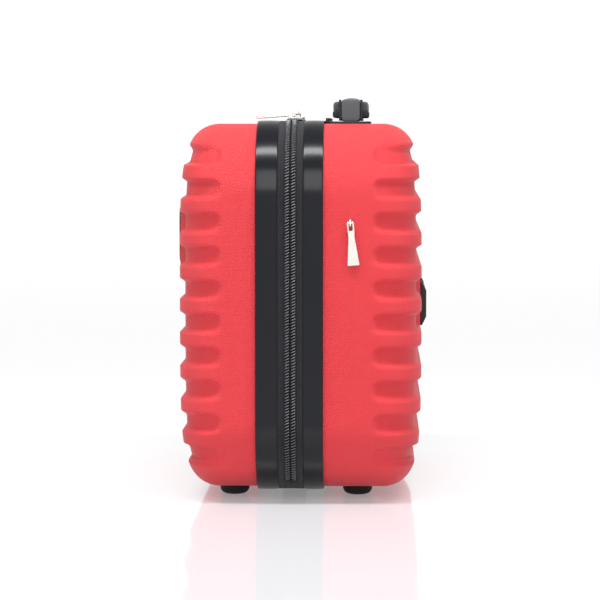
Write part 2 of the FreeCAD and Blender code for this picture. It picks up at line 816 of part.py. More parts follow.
def handle_mount(hand, sign):
    """One end mount: a block with a slot that guides the grip's cross pin up and down."""
    name = f"handle_mount_{hand}"
    body = doc.addObject("PartDesign::Body", f"{name}_body")
    profile = sketch_on(body, f"{name}_profile", "YZ_Plane")
    half = "sizes.mount_width / 2"
    high = f"({PLATE_TOP} + sizes.mount_height)"
    low = f"({PLATE_TOP})"
    bend = "sizes.mount_round"
    middle = f"{bend} * sizes.round_middle"
    polygon(
        profile,
        [
            (f"{MOUNT_Y} - {half}", low),
            (f"{MOUNT_Y} + {half}", low),
            (f"{MOUNT_Y} + {half}", f"{high} - {bend}"),
            (f"{MOUNT_Y} + {half} - {middle}", f"{high} - {middle}"),
            (f"{MOUNT_Y} + {half} - {bend}", high),
            (f"{MOUNT_Y} - {half} + {bend}", high),
            (f"{MOUNT_Y} - {half} + {middle}", f"{high} - {middle}"),
            (f"{MOUNT_Y} - {half}", f"{high} - {bend}"),
        ],
    )
    pad(body, f"{name}_pad", profile, "sizes.mount_length", middle=True)
    slot = sketch_on(body, f"{name}_slot", "XZ_Plane")
    reach = "(sizes.pin_radius + sizes.pin_clearance)"
    pin_low = f"({PLATE_TOP} + sizes.pin_height)"
    polygon(
        slot,
        [
            (f"-{reach}", f"{pin_low} - {reach}"),
            (reach, f"{pin_low} - {reach}"),
            (reach, f"{pin_low} + sizes.grip_lift + {reach}"),
            (f"-{reach}", f"{pin_low} + sizes.grip_lift + {reach}"),
        ],
    )
    pocket_through(body, f"{name}_pocket", slot)
    bores = [
        rod(
            f"{name}_bore{number}",
            ("0", f"{MOUNT_Y} + {across} * sizes.screw_spread", f"{PLATE_TOP} - {CLEAR}"),
            "sizes.screw_radius",
            f"sizes.screw_bite + {CLEAR}",
        )
        for number, across in enumerate((-1, 1))
    ]
    node(cut(f"{name}_cut", body, fuse(f"{name}_bores", bores)), name, f"{sign} * {MOUNT_PLACE}")


def handle_fastening():
    """A steel backing plate inside the top wall, and the four screws that clamp the mounts to it."""
    ceiling = f"({SHELL_HIGH} - sizes.wall)"
    plate_low = f"({ceiling} - sizes.backing_thickness)"
    plate = box(
        "handle_backing_blank",
        (
            f"-{MOUNT_PLACE} - sizes.mount_length",
            f"{MOUNT_Y} - sizes.mount_width",
            plate_low,
        ),
        (
            f"2 * ({MOUNT_PLACE} + sizes.mount_length)",
            "2 * sizes.mount_width",
            "sizes.backing_thickness",
        ),
    )
    holes = []
    screws = []
    for number, (x, y) in enumerate(handle_screw_places()):
        start = f"{plate_low} - {CLEAR}"
        depth = f"sizes.backing_thickness + 2 * {CLEAR}"
        holes.append(rod(f"handle_backing_hole{number}", (x, y, start), "sizes.screw_radius", depth))
        head = rod(
            f"handle_screw_head{number}",
            (x, y, f"({plate_low} - sizes.screw_head_height)"),
            "sizes.screw_head_radius",
            "sizes.screw_head_height",
        )
        shank = rod(
            f"handle_screw_shank{number}",
            (x, y, plate_low),
            "sizes.screw_radius",
            f"{PLATE_TOP} + sizes.screw_bite - {plate_low}",
        )
        screws.append(fuse(f"handle_screw{number}", [head, shank]))
    node(cut("handle_backing_cut", plate, fuse("handle_backing_holes", holes)), "handle_backing_plate")
    node(group("handle_screw_set", screws), "handle_screws")


FORK_INNER = "(sizes.mount_width / 2 + sizes.fork_clearance)"
FORK_OUTER = f"({FORK_INNER} + sizes.fork_thickness)"
FORK_LOW = f"({PLATE_TOP} + sizes.fork_stand)"
TONGUE_LOW = f"({GRIP_SPLIT} - sizes.fork_thickness)"


def handle_grip():
    """The two moulded halves of the grip, screwed together over the fork tongues."""
    half = "sizes.grip_width / 2"
    lower = doc.addObject("PartDesign::Body", "grip_lower_body")
    profile = sketch_on(lower, "grip_lower_profile", "YZ_Plane")
    inset = "sizes.grip_round"
    polygon(
        profile,
        [
            (f"{MOUNT_Y} - {half} + {inset}", GRIP_LOW),
            (f"{MOUNT_Y} + {half} - {inset}", GRIP_LOW),
            (f"{MOUNT_Y} + {half}", f"{GRIP_LOW} + {inset}"),
            (f"{MOUNT_Y} + {half} - sizes.grip_taper", GRIP_SPLIT),
            (f"{MOUNT_Y} - {half} + sizes.grip_taper", GRIP_SPLIT),
            (f"{MOUNT_Y} - {half}", f"{GRIP_LOW} + {inset}"),
        ],
    )
    pad(lower, "grip_lower_pad", profile, f"2 * {GRIP_END}", middle=True)
    pocket_depth = f"(sizes.fork_tongue + {OVERCUT})"
    starts = (f"-{GRIP_END} - {OVERCUT}", f"{GRIP_END} - sizes.fork_tongue")
    pockets = [
        box(
            f"grip_pocket{number}",
            (start, f"{MOUNT_Y} - {FORK_OUTER}", TONGUE_LOW),
            (pocket_depth, f"2 * {FORK_OUTER}", "sizes.fork_thickness"),
        )
        for number, start in enumerate(starts)
    ]
    node(cut("grip_lower_cut", lower, fuse("grip_pockets", pockets)), "handle_grip_lower")

    upper = doc.addObject("PartDesign::Body", "grip_upper_body")
    profile = sketch_on(upper, "grip_upper_profile", "XZ_Plane", f"-({MOUNT_Y})")
    shoulder = f"({GRIP_SPLIT} + sizes.grip_upper_height)"
    ends = [
        (f"-{GRIP_END}", shoulder),
        (f"-{GRIP_END}", GRIP_SPLIT),
        (GRIP_END, GRIP_SPLIT),
        (GRIP_END, shoulder),
    ]
    spots = [FreeCAD.Vector(value(across), value(up), 0) for across, up in ends]
    for i in range(3):
        profile.addGeometry(Part.LineSegment(spots[i], spots[i + 1]), False)
    crown = FreeCAD.Vector(0, value(f"{shoulder} + sizes.grip_crown"), 0)
    profile.addGeometry(Part.Arc(spots[3], crown, spots[0]), False)
    for i in range(2):
        profile.addConstraint(Sketcher.Constraint("Coincident", i, 2, i + 1, 1))
    profile.addConstraint(Sketcher.Constraint("Coincident", 2, 2, 3, 1))
    profile.addConstraint(Sketcher.Constraint("Coincident", 3, 2, 0, 1))
    for i in range(3):
        locate(profile, i, 1, *ends[i])
    locate(profile, 2, 2, *ends[3])
    # an arc of half-chord a and rise c has the radius (a^2 + c^2) / 2c
    arc_radius = f"({GRIP_END} ^ 2 + sizes.grip_crown ^ 2) / (2 * sizes.grip_crown)"
    index = profile.addConstraint(Sketcher.Constraint("Radius", 3, value(arc_radius)))
    profile.setExpression(f"Constraints[{index}]", arc_radius)
    solid = pad(upper, "grip_upper_pad", profile, "sizes.grip_width - 2 * sizes.grip_taper", middle=True)
    long_edges = [
        f"Edge{index + 1}"
        for index, edge in enumerate(solid.Shape.Edges)
        if edge.Curve.TypeId == "Part::GeomCircle"
    ]
    fillet(upper, "grip_upper_edges", solid, long_edges, "sizes.grip_round")
    node(upper, "handle_grip_upper")


def handle_fork(hand, sign):
    """A steel fork: a tongue in the grip, a web at its end, and two cheeks that straddle the end mount."""
    name = f"handle_fork_{hand}"
    thickness = "sizes.fork_thickness"
    cheek_end = f"({MOUNT_PLACE} + sizes.mount_length / 2)"
    high = f"({FORK_LOW} + sizes.fork_height)"

    def across(name, start, end, low_y, high_y, low_z, high_z):
        """A block from start to end along X on this hand's side."""
        left = start if sign > 0 else f"-({end})"
        return box(
            name,
            (left, f"{MOUNT_Y} + {low_y}", low_z),
            (f"{end} - {start}", f"{high_y} - ({low_y})", f"{high_z} - {low_z}"),
        )

    tongue = across(
        f"{name}_tongue",
        f"({GRIP_END} - sizes.fork_tongue)",
        f"({GRIP_END})",
        f"-{FORK_OUTER}",
        FORK_OUTER,
        TONGUE_LOW,
        GRIP_SPLIT,
    )
    web_end = f"({GRIP_END} + {thickness})"
    web = across(f"{name}_web", GRIP_END, web_end, f"-{FORK_OUTER}", FORK_OUTER, FORK_LOW, GRIP_SPLIT)
    cheeks = [
        across(
            f"{name}_cheek{number}",
            GRIP_END,
            cheek_end,
            FORK_INNER if side > 0 else f"-{FORK_OUTER}",
            FORK_OUTER if side > 0 else f"-{FORK_INNER}",
            FORK_LOW,
            high,
        )
        for number, side in enumerate((-1, 1))
    ]
    blank = fuse(f"{name}_blank", [tongue, web, *cheeks])
    pin_start = f"{MOUNT_Y} - {FORK_OUTER}"
    pin_z = f"{PLATE_TOP} + sizes.pin_height"
    pin_x = f"{sign} * {MOUNT_PLACE}"
    pin_place = (pin_x, pin_start, pin_z)
    pin_length = f"2 * {FORK_OUTER}"
    hole = rod(f"{name}_hole", pin_place, "sizes.pin_radius", pin_length, axis="y")
    node(cut(f"{name}_cut", blank, hole), name)
    pin = rod(f"handle_pin_{hand}_rod", pin_place, "sizes.pin_radius", pin_length, axis="y")
    node(pin, f"handle_pin_{hand}", pin_x, pin_start, pin_z)


# ---------------------------------------------------------------- strap guide on the back


def guide_screw_places():
    return [
        (f"{end} * (sizes.guide_width - sizes.guide_end) / 2", GUIDE_MIDDLE) for end in (-1, 1)
    ]


def guide_holes():
    start = f"sizes.rear_depth - sizes.wall - {CLEAR}"
    depth = f"sizes.wall + 2 * {CLEAR}"
    return [
        rod(f"guide_hole{number}", (x, start, z), "sizes.screw_radius", depth, axis="y")
        for number, (x, z) in enumerate(guide_screw_places())
    ]


def strap_guide():
    """Two end blocks screwed to the back, and between them a band that a luggage strap slides behind."""
    body = doc.addObject("PartDesign::Body", "strap_guide_body")
    profile = sketch_on(body, "strap_guide_profile", "YZ_Plane")
    inner = "sizes.rear_depth"
    outer = "(sizes.rear_depth + sizes.guide_proud)"
    polygon(
        profile,
        [
            (inner, GUIDE_LOW),
            (f"{outer} - sizes.guide_chamfer", GUIDE_LOW),
            (outer, f"{GUIDE_LOW} + sizes.guide_chamfer_height"),
            (outer, f"{GUIDE_HIGH} - sizes.guide_chamfer_height"),
            (f"{outer} - sizes.guide_chamfer", GUIDE_HIGH),
            (inner, GUIDE_HIGH),
        ],
    )
    pad(body, "strap_guide_pad", profile, "sizes.guide_width", middle=True)
    half_slot = "(sizes.guide_width / 2 - sizes.guide_end)"

    def clear(name, start, low, width, height):
        """A box that clears the room between the two end blocks."""
        return box(name, (f"-{half_slot}", start, low), (f"2 * {half_slot}", width, height))

    past = f"sizes.guide_proud + 2 * {OVERCUT}"
    slot_depth = f"sizes.guide_slot + {CLEAR}"
    slot = clear("strap_guide_slot", f"{inner} - {CLEAR}", GUIDE_LOW, slot_depth, "sizes.guide_height")
    under = clear("strap_guide_under", f"{inner} - {OVERCUT}", GUIDE_LOW, past, "sizes.guide_chamfer_height")
    over = clear(
        "strap_guide_over",
        f"{inner} - {OVERCUT}",
        f"{GUIDE_HIGH} - sizes.guide_chamfer_height",
        past,
        "sizes.guide_chamfer_height",
    )
    shanks = []
    holes = []
    for number, (x, z) in enumerate(guide_screw_places()):
        start = "(sizes.rear_depth - sizes.wall)"
        reach = "sizes.wall + sizes.guide_slot"
        shank = rod(f"guide_shank{number}", (x, start, z), "sizes.screw_radius", reach, axis="y")
        head = rod(
            f"guide_head{number}",
            (x, f"{start} - sizes.screw_head_height", z),
            "sizes.screw_head_radius",
            "sizes.screw_head_height",
            axis="y",
        )
        shanks.append(fuse(f"guide_screw{number}", [shank, head]))
        holes.append(rod(f"guide_bore{number}", (x, start, z), "sizes.screw_radius", reach, axis="y"))
    node(cut("strap_guide_cut", body, fuse("strap_guide_cuts", [slot, under, over, *holes])), "strap_guide")
    node(group("guide_screw_pair", shanks), "strap_guide_screws")


# ---------------------------------------------------------------- badge and lid pocket


def badge():
    """A plain plate on the front face, with two moulded studs through the shell."""
    body = doc.addObject("PartDesign::Body", "badge_body")
    profile = sketch_on(body, "badge_outline", "XZ_Plane", "sizes.front_depth")
    low = f"({BADGE_MIDDLE} - sizes.badge_height / 2)"
    high = f"({BADGE_MIDDLE} + sizes.badge_height / 2)"
    rounded_rectangle(profile, BADGE_NEAR, BADGE_FAR, low, high, "sizes.badge_round")
    pad(body, "badge_pad", profile, "sizes.badge_thickness")
    studs = badge_studs("badge_stud", "sizes.wall")
    node(fuse("badge_whole", [body, *studs]), "front_badge")


def badge_studs(name, depth):
    """The studs, or the holes for them, running back from the front face."""
    middle = f"({BADGE_NEAR} + {BADGE_FAR})"
    return [
        rod(
            f"{name}{number}",
            (f"({middle} + {sign} * sizes.badge_stud_spacing) / 2", "-sizes.front_depth", BADGE_MIDDLE),
            "sizes.screw_radius",
            depth,
            axis="y",
        )
        for number, sign in enumerate((-1, 1))
    ]


def lid_pocket():
    """A flat gathered pocket sewn to the lid's lining."""
    face = f"(sizes.front_depth - {LINING_INSET} - sizes.lining_thickness)"
    pocket = box(
        "lid_pocket_panel",
        ("-sizes.pocket_width / 2", f"-{face}", f"{SHELL_LOW} + sizes.pocket_rise"),
        ("sizes.pocket_width", "sizes.pocket_thickness", "sizes.pocket_height"),
    )
    node(group("lid_pocket_group", [pocket]), "lid_pocket")


# ---------------------------------------------------------------- the whole case

front_holes = foot_holes("front") + badge_studs("badge_hole", f"sizes.wall + {CLEAR}")
rear_holes = (
    foot_holes("rear")
    + handle_holes()
    + guide_holes()
    + staple_holes("side_left", -1)
    + staple_holes("side_right", 1)
)
shell("front", front_holes)
shell("rear", rear_holes)
for half in ("front", "rear"):
    edge_pieces(half)
    zip_stops(half)
    lining(half)
    feet(half)
for hand, sign in (("left", -1), ("right", 1)):
    zip_slider(hand, sign)
    strap_tab(hand, sign)
    handle_mount(hand, sign)
    handle_fork(hand, sign)
handle_base()
handle_fastening()
handle_grip()
strap_guide()
badge()
lid_pocket()
doc.recompute()

for item in doc.Objects:
    if "Invalid" in item.State or "Error" in item.State:
        raise ValueError(f"{item.Name} failed: {item.State}")
for item in nodes:
    if item.Shape.isNull() or not item.Shape.isValid() or not item.Shape.Solids:
        raise ValueError(f"{item.Label} has no valid solid")

os.makedirs("parts", exist_ok=True)
for item in nodes:
    item.Shape.exportStep(os.path.join("parts", item.Label + ".step"))
    size = item.Shape.BoundBox
    print(
        f"{item.Label}: {len(item.Shape.Solids)} solid(s), x {size.XMin:.1f}..{size.XMax:.1f}, "
        f"y {size.YMin:.1f}..{size.YMax:.1f}, z {size.ZMin:.1f}..{size.ZMax:.1f}"
    )
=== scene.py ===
import json
import math

import bmesh
import bpy
import numpy as np
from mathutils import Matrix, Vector


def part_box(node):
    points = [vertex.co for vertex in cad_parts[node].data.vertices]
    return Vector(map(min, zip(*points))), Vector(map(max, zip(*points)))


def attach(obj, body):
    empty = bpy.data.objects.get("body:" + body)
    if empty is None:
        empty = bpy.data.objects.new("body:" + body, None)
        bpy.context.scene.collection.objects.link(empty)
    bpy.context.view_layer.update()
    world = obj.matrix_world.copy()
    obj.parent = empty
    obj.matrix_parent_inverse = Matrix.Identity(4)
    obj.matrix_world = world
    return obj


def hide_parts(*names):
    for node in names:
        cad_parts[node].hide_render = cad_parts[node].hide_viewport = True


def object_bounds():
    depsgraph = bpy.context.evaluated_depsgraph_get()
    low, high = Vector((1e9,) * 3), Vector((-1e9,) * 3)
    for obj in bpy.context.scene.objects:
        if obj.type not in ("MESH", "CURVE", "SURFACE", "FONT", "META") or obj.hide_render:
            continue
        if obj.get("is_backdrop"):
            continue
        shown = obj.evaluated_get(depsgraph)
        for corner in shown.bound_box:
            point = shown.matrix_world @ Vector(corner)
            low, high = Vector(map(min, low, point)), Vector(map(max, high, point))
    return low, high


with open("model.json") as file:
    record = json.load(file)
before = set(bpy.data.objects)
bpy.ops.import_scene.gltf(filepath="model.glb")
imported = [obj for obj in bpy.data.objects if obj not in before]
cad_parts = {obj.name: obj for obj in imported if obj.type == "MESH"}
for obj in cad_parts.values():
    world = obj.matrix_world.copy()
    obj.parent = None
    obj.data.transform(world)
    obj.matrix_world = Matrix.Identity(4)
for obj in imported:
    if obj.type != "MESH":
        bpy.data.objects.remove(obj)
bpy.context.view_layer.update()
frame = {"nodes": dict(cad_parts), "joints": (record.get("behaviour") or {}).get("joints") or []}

scene = bpy.context.scene

# ---------------------------------------------------------------- studio
# A white room: an even surround, a long soft box high on the near side, a weak fill and a pale
# polished table. The camera stands square to the case's narrow side, level with its top.

lens = bpy.data.cameras.new("long_lens")
lens.lens = 155.6
lens.clip_end = 30
camera = bpy.data.objects.new("camera", lens)
scene.collection.objects.link(camera)
scene.camera = camera
camera.location = (2.385, 0.063, 0.326)
aim = Vector((0.185, -0.0015, 0.1768)) - camera.location
camera.rotation_mode = "QUATERNION"
camera.rotation_quaternion = aim.to_track_quat("-Z", "Y")
scene.view_settings.view_transform = "Standard"


def linear(shade):
    """A six-digit sRGB hex colour as linear red, green, blue and alpha."""
    parts = np.array([int(shade[i : i + 2], 16) for i in (0, 2, 4)]) / 255
    low, high = parts / 12.92, ((parts + 0.055) / 1.055) ** 2.4
    return (*np.where(parts <= 0.04045, low, high).tolist(), 1.0)


def add_node(tree, kind, settings=None, links=None):
    """One shader node: settings are its properties or its inputs' values, links its inputs' sources."""
    node = tree.nodes.new("ShaderNode" + kind)
    for name, given in (settings or {}).items():
        if isinstance(name, str) and hasattr(node, name):
            setattr(node, name, given)
        else:
            node.inputs[name].default_value = given
    for name, source in (links or {}).items():
        tree.links.new(source, node.inputs[name])
    return node


def new_material(name):
    """A material with its node tree and its principled shader."""
    material = bpy.data.materials.new(name)
    material.use_nodes = True
    return material, material.node_tree, material.node_tree.nodes["Principled BSDF"]


def area_light(name, size, energy, place, target):
    """A rectangular lamp turned to face a point."""
    lamp = bpy.data.lights.new(name, "AREA")
    lamp.shape = "RECTANGLE"
    lamp.size, lamp.size_y = size
    lamp.energy = energy
    light = bpy.data.objects.new(name, lamp)
    scene.collection.objects.link(light)
    light.location = place
    light.rotation_mode = "QUATERNION"
    light.rotation_quaternion = (Vector(target) - light.location).to_track_quat("-Z", "Y")


# The surround lights the sides more than the top, and shows plain white to the camera.
surround = bpy.data.worlds.new("white_surround")
scene.world = surround
surround.use_nodes = True
tree = surround.node_tree
tree.nodes.clear()
heading = add_node(tree, "SeparateXYZ", links={0: add_node(tree, "TexCoord").outputs["Generated"]})
fading = {"From Max": 0.8, "To Min": 0.98, "To Max": 0.45}
fall = add_node(tree, "MapRange", fading, {"Value": heading.outputs["Z"]})
lit = add_node(tree, "Background", {"Color": linear("FFFFFF")}, {"Strength": fall.outputs[0]})
seen = add_node(tree, "Background", {"Color": linear("FFFFFF"), "Strength": 1.05})
ray = add_node(tree, "LightPath")
either = {0: ray.outputs["Is Camera Ray"], 1: lit.outputs[0], 2: seen.outputs[0]}
room = add_node(tree, "MixShader", links=either)
add_node(tree, "OutputWorld", links={0: room.outputs[0]})

# A long soft box draws one bright line on the trims' upper bends; a large weak fill from the
# near side opens up the scooped band ends.
area_light("soft_box", (1.60, 0.26), 26, (0.52, 0.0, 1.46), (0.15, 0, 0.25))
area_light("fill", (1.4, 1.4), 22, (2.5, 0.0, 1.35), (0.185, 0, 0.17))

# Polished white acrylic table top, lit from within so that it stays as white as the surround.
table_half = 8.0
table_mesh = bpy.data.meshes.new("table_top")
table_corners = [(x * table_half, y * table_half, 0) for x, y in ((-1, -1), (1, -1), (1, 1), (-1, 1))]
table_mesh.from_pydata(table_corners, [], [(0, 1, 2, 3)])
acrylic, tree, shader = new_material("polished_white_acrylic")
shader.inputs["Base Color"].default_value = linear("CFCFD3")
shader.inputs["IOR"].default_value = 1.49
shader.inputs["Specular IOR Level"].default_value = 0.5
shader.inputs["Emission Color"].default_value = linear("FFFFFF")
shader.inputs["Emission Strength"].default_value = 0.22
polish = add_node(tree, "TexNoise", {"Scale": 3.0}, {"Vector": add_node(tree, "TexCoord").outputs["Object"]})
haze = add_node(tree, "MapRange", {"To Min": 0.05, "To Max": 0.08}, {"Value": polish.outputs[0]})
tree.links.new(haze.outputs[0], shader.inputs["Roughness"])
table_mesh.materials.append(acrylic)
table_top = bpy.data.objects.new("table_top", table_mesh)
scene.collection.objects.link(table_top)
table_top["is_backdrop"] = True

# ---------------------------------------------------------------- red shells
# Two vacuum-formed ABS shells, 2.2 mm thick, embossed all over with a fine diamond hatch.
# Ten recessed bands run across each face and die out in scooped ends on the side walls.



def corners_of(node):
    """The two opposite corners of a CAD node's box."""
    return (np.array(corner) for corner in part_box(node))


front_low, front_high = corners_of("front_shell")
rear_low, rear_high = corners_of("rear_shell")
zip_plane = (front_high[1] + rear_low[1]) / 2
half_width = front_high[0]
case_low, case_high = front_low[2], front_high[2]
corner_radius = 0.062
edge_radius = 0.034
wall = 0.0022
mouth = 0.0123
band_pitch, band_height, band_depth = 0.0287, 0.0147, 0.0048
band_middle = (case_low + case_high) / 2 + 0.0026
band_half_count = 4.5
band_reach = {"front": 0.034, "rear": 0.039}
pad_margin, pad_ease = 0.006, 0.003
pad_box = {"front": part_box("front_badge"), "rear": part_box("strap_guide")}


def outline(side_steps, end_steps, corner_steps):
    """The case's outline in x and z, four quarter circles joined by straight runs, closed.

    Gives each point's place, its outward direction and its distance along the outline."""
    across = half_width - corner_radius
    low, high = case_low + corner_radius, case_high - corner_radius
    centres = ((across, low, -90), (across, high, 0), (-across, high, 90), (-across, low, 180))
    places, outward = [], []
    for number, (x, z, first) in enumerate(centres):
        turn = np.radians(first + np.linspace(0, 90, corner_steps + 1))
        way = np.stack((np.cos(turn), np.sin(turn)), -1)
        arc = np.array((x, z)) + corner_radius * way
        next_x, next_z, _ = centres[(number + 1) % 4]
        start = np.array((next_x, next_z)) + corner_radius * way[-1]
        steps = end_steps if number % 2 else side_steps
        part = np.linspace(0, 1, steps + 1)[1:-1, None]
        places += [arc, arc[-1] + part * (start - arc[-1])]
        outward += [way, np.repeat(way[-1:], steps - 1, 0)]
    places, outward = np.concatenate(places), np.concatenate(outward)
    places, outward = np.vstack((places, places[:1])), np.vstack((outward, outward[:1]))
    along = np.concatenate(((0,), np.cumsum(np.linalg.norm(np.diff(places, axis=0), axis=1))))
    return places, outward, along


def smooth_step(share):
    """0 below 0, 1 above 1, and 3s^2 - 2s^3 between."""
    share = np.clip(share, 0, 1)
    return share * share * (3 - 2 * share)


def make_piece(name, patches, body, material, replaced=(), crease=40):
    """A mesh from patches, each a grid of points and its flat coordinates (or a stack of such grids).

    Neighbouring points make four-sided faces, touching borders are welded and the faces turned outward."""
    points, flats, faces, start = [], [], [], 0
    for grid, flat in patches:
        index = start + np.arange(grid[..., 0].size).reshape(grid.shape[:-1])
        corners = (index[..., :-1, :-1], index[..., :-1, 1:], index[..., 1:, 1:], index[..., 1:, :-1])
        faces.append(np.stack(corners, -1).reshape(-1, 4))
        points.append(grid.reshape(-1, 3))
        flats.append(np.broadcast_to(flat, (*grid.shape[:-1], 2)).reshape(-1, 2))
        start += index.size
    points, flats, faces = np.concatenate(points), np.concatenate(flats), np.concatenate(faces)
    mesh = bpy.data.meshes.new(name)
    mesh.from_pydata(points.tolist(), [], faces.tolist())
    flat_map = mesh.uv_layers.new(name="flat")
    flat_map.data.foreach_set("uv", flats[faces.ravel()].astype(np.float32).ravel())
    welder = bmesh.new()
    welder.from_mesh(mesh)
    bmesh.ops.remove_doubles(welder, verts=welder.verts, dist=2e-6)
    bmesh.ops.recalc_face_normals(welder, faces=welder.faces)
    welder.to_mesh(mesh)
    welder.free()
    mesh.polygons.foreach_set("use_smooth", np.ones(len(mesh.polygons), bool))
    mesh.set_sharp_from_angle(angle=math.radians(crease))
    mesh.materials.append(material)
    piece = bpy.data.objects.new(name, mesh)
    scene.collection.objects.link(piece)
    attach(piece, body)
    if replaced:
        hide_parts(*replaced)
    return piece


def band_share(z, inward, reach):
    """How deep a band is at a height and a distance inward from the crest, from 0 to 1.

    The distance to a round-cornered slot about the nearest band, eased over its edge."""
    number = np.clip(np.round((z - band_middle) / band_pitch - 0.5) + 0.5, -band_half_count, band_half_count)
    off = np.abs(z - band_middle - number * band_pitch)
    slot_round, ease = 0.005, 0.0042
    by_height = off - (band_height / 2 - slot_round)
    by_reach = (inward - (reach - slot_round)) / 1.35
    outside = np.hypot(np.maximum(by_height, 0), np.maximum(by_reach, 0))
    distance = outside + np.minimum(np.maximum(by_height, by_reach), 0) - slot_round
    shallower = 1 - 0.35 * smooth_step((inward - 0.020) / (reach - 0.020))
    return smooth_step(0.5 - distance / ease) * shallower


def clear_pad(x, z, low, high):
    """1 away from a rectangle in x and z, easing to 0 inside it: no band crosses a fitting's seat."""
    away = np.maximum(np.maximum(low[0] - x, x - high[0]), np.maximum(low[2] - z, z - high[2]))
    return smooth_step((away - pad_margin) / pad_ease + 0.5)


def crown_drop(z):
    """How far the face falls back: the fourth power of the height from the case's middle."""
    middle = (case_low + case_high) / 2
    return 0.0030 * np.minimum(np.abs(z - middle) / 0.125, 1.06) ** 4


def shell_patches(toward, depth, reach=0.0, inset=0.0, pad=None):
    """The wall, the rounded edge and the face of one half, with bands if it has a pad for a fitting.

    The outline is carried along a profile that runs straight back from the opening, turns a quarter
    circle inward and ends on the face, which is filled by level rows between its two sides."""
    banded = pad is not None
    side_steps, end_steps, corner_steps = (120, 90, 62) if banded else (40, 12, 16)
    places, outward, along = outline(side_steps, end_steps, corner_steps)
    straight = depth - edge_radius
    run = np.concatenate(
        (np.linspace(mouth, straight - 0.014, 8), np.linspace(straight - 0.0125, straight, 9))
    )
    turn = np.linspace(0, math.pi / 2, 29 if banded else 13)[1:]
    back = np.concatenate((run, straight + edge_radius * np.sin(turn)))
    drawn_in = np.concatenate((np.zeros(len(run)), edge_radius * (1 - np.cos(turn))))
    lean = np.concatenate((np.zeros(len(run)), turn))
    travelled = np.concatenate((run, straight + edge_radius * turn))
    offset = drawn_in + inset * np.cos(lean)
    x = places[None, :, 0] - offset[:, None] * outward[None, :, 0]
    z = places[None, :, 1] - offset[:, None] * outward[None, :, 1]
    y = np.repeat((back - inset * np.sin(lean))[:, None], len(places), 1)
    push = np.zeros_like(x)
    if banded:
        push = band_depth * band_share(z, depth - back[:, None], reach)
    sink, rise = np.cos(lean)[:, None], np.sin(lean)[:, None]
    ring = np.stack(
        (
            x - push * sink * outward[None, :, 0],
            zip_plane + toward * (y - push * rise - crown_drop(z) * rise**2),
            z - push * sink * outward[None, :, 1],
        ),
        -1,
    )
    ring_flat = np.stack(np.broadcast_arrays(along[None, :], travelled[:, None]), -1)

    side_count = side_steps + 2 * corner_steps + 1
    right = np.stack((x[-1, :side_count], z[-1, :side_count]), -1)
    part = np.linspace(1, -1, end_steps + 1)
    face_x = right[:, :1] * part[None, :]
    face_z = np.repeat(right[:, 1:], end_steps + 1, 1)
    push = np.zeros_like(face_z)
    if banded:
        push = band_depth * band_share(face_z, push, reach) * clear_pad(face_x, face_z, *pad)
    face_y = zip_plane + toward * (depth - inset - push - crown_drop(face_z))
    face = np.stack((face_x, face_y, face_z), -1)
    face_flat = np.stack((face_z, travelled[-1] + half_width - face_x), -1)
    return [(ring, ring_flat), (face, face_flat)]


def wave(tree, source, pitch):
    """A sine of a distance in metres, one full wave for each pitch."""
    phase = add_node(tree, "Math", {"operation": "MULTIPLY", 1: 2 * math.pi / pitch}, {0: source})
    return add_node(tree, "Math", {"operation": "SINE"}, {0: phase.outputs[0]})


# Vacuum-formed ABS: mid-gloss red, its diamond hatch softened by the forming, with slow drifts
# of gloss and faint rub marks. The real hatch is about 1 mm; it is drawn at 2.4 mm to show.
red_abs, tree, shader = new_material("vacuum_formed_red_abs")
shader.inputs["IOR"].default_value = 1.5
shader.inputs["Specular IOR Level"].default_value = 0.36
hatch_pitch = 0.0024
place = add_node(tree, "TexCoord")
flat = add_node(tree, "SeparateXYZ", links={0: place.outputs["UV"]})
drift = add_node(tree, "TexNoise", {"Scale": 7.0, "Detail": 5.0}, {"Vector": place.outputs["Object"]})
colours = {"data_type": "RGBA", 6: linear("D5343B"), 7: linear("DB3B42")}
tone = add_node(tree, "Mix", colours, {0: drift.outputs[0]})
rub_noise = {"Scale": 55.0, "Detail": 8.0, "Roughness": 0.72}
rubs = add_node(tree, "TexNoise", rub_noise, {"Vector": place.outputs["Object"]})
rub_range = {"From Min": 0.58, "From Max": 0.78, "To Max": 0.10}
rubbed = add_node(tree, "MapRange", rub_range, {"Value": rubs.outputs[0]})
worn = add_node(
    tree, "Mix", {"data_type": "RGBA", 7: linear("E8686E")}, {0: rubbed.outputs[0], 6: tone.outputs[2]}
)
tree.links.new(worn.outputs[2], shader.inputs["Base Color"])
gloss = add_node(tree, "MapRange", {"To Min": 0.34, "To Max": 0.48}, {"Value": drift.outputs[0]})
tree.links.new(gloss.outputs[0], shader.inputs["Roughness"])
waves = []
for way in ("ADD", "SUBTRACT"):
    slant = add_node(tree, "Math", {"operation": way}, {0: flat.outputs["X"], 1: flat.outputs["Y"]})
    waves.append(wave(tree, slant.outputs[0], hatch_pitch))
hatch = add_node(tree, "Math", {"operation": "MAXIMUM"}, {0: waves[0].outputs[0], 1: waves[1].outputs[0]})
emboss = add_node(tree, "Bump", {"Strength": 0.9, "Distance": 0.00035}, {"Height": hatch.outputs[0]})
tree.links.new(emboss.outputs[0], shader.inputs["Normal"])

case_halves = (
    ("front", -1, zip_plane - front_low[1], "front_case"),
    ("rear", 1, rear_high[1] - zip_plane, "rear_case"),
)
for half, toward, depth, body in case_halves:
    patches = shell_patches(toward, depth, band_reach[half], pad=pad_box[half])
    covered = (f"{half}_shell",)
    shell = make_piece(f"{half}_red_shell", patches, body, red_abs, covered, crease=60)
    thick = shell.modifiers.new("wall", "SOLIDIFY")
    thick.thickness = wall
    thick.offset = -1

# ---------------------------------------------------------------- edge trims
# A black ABS frame round each shell's opening, over the zip tape's outer edge. It is
# extruded, bent to the corners and polished, so its outer face is a little crowned.

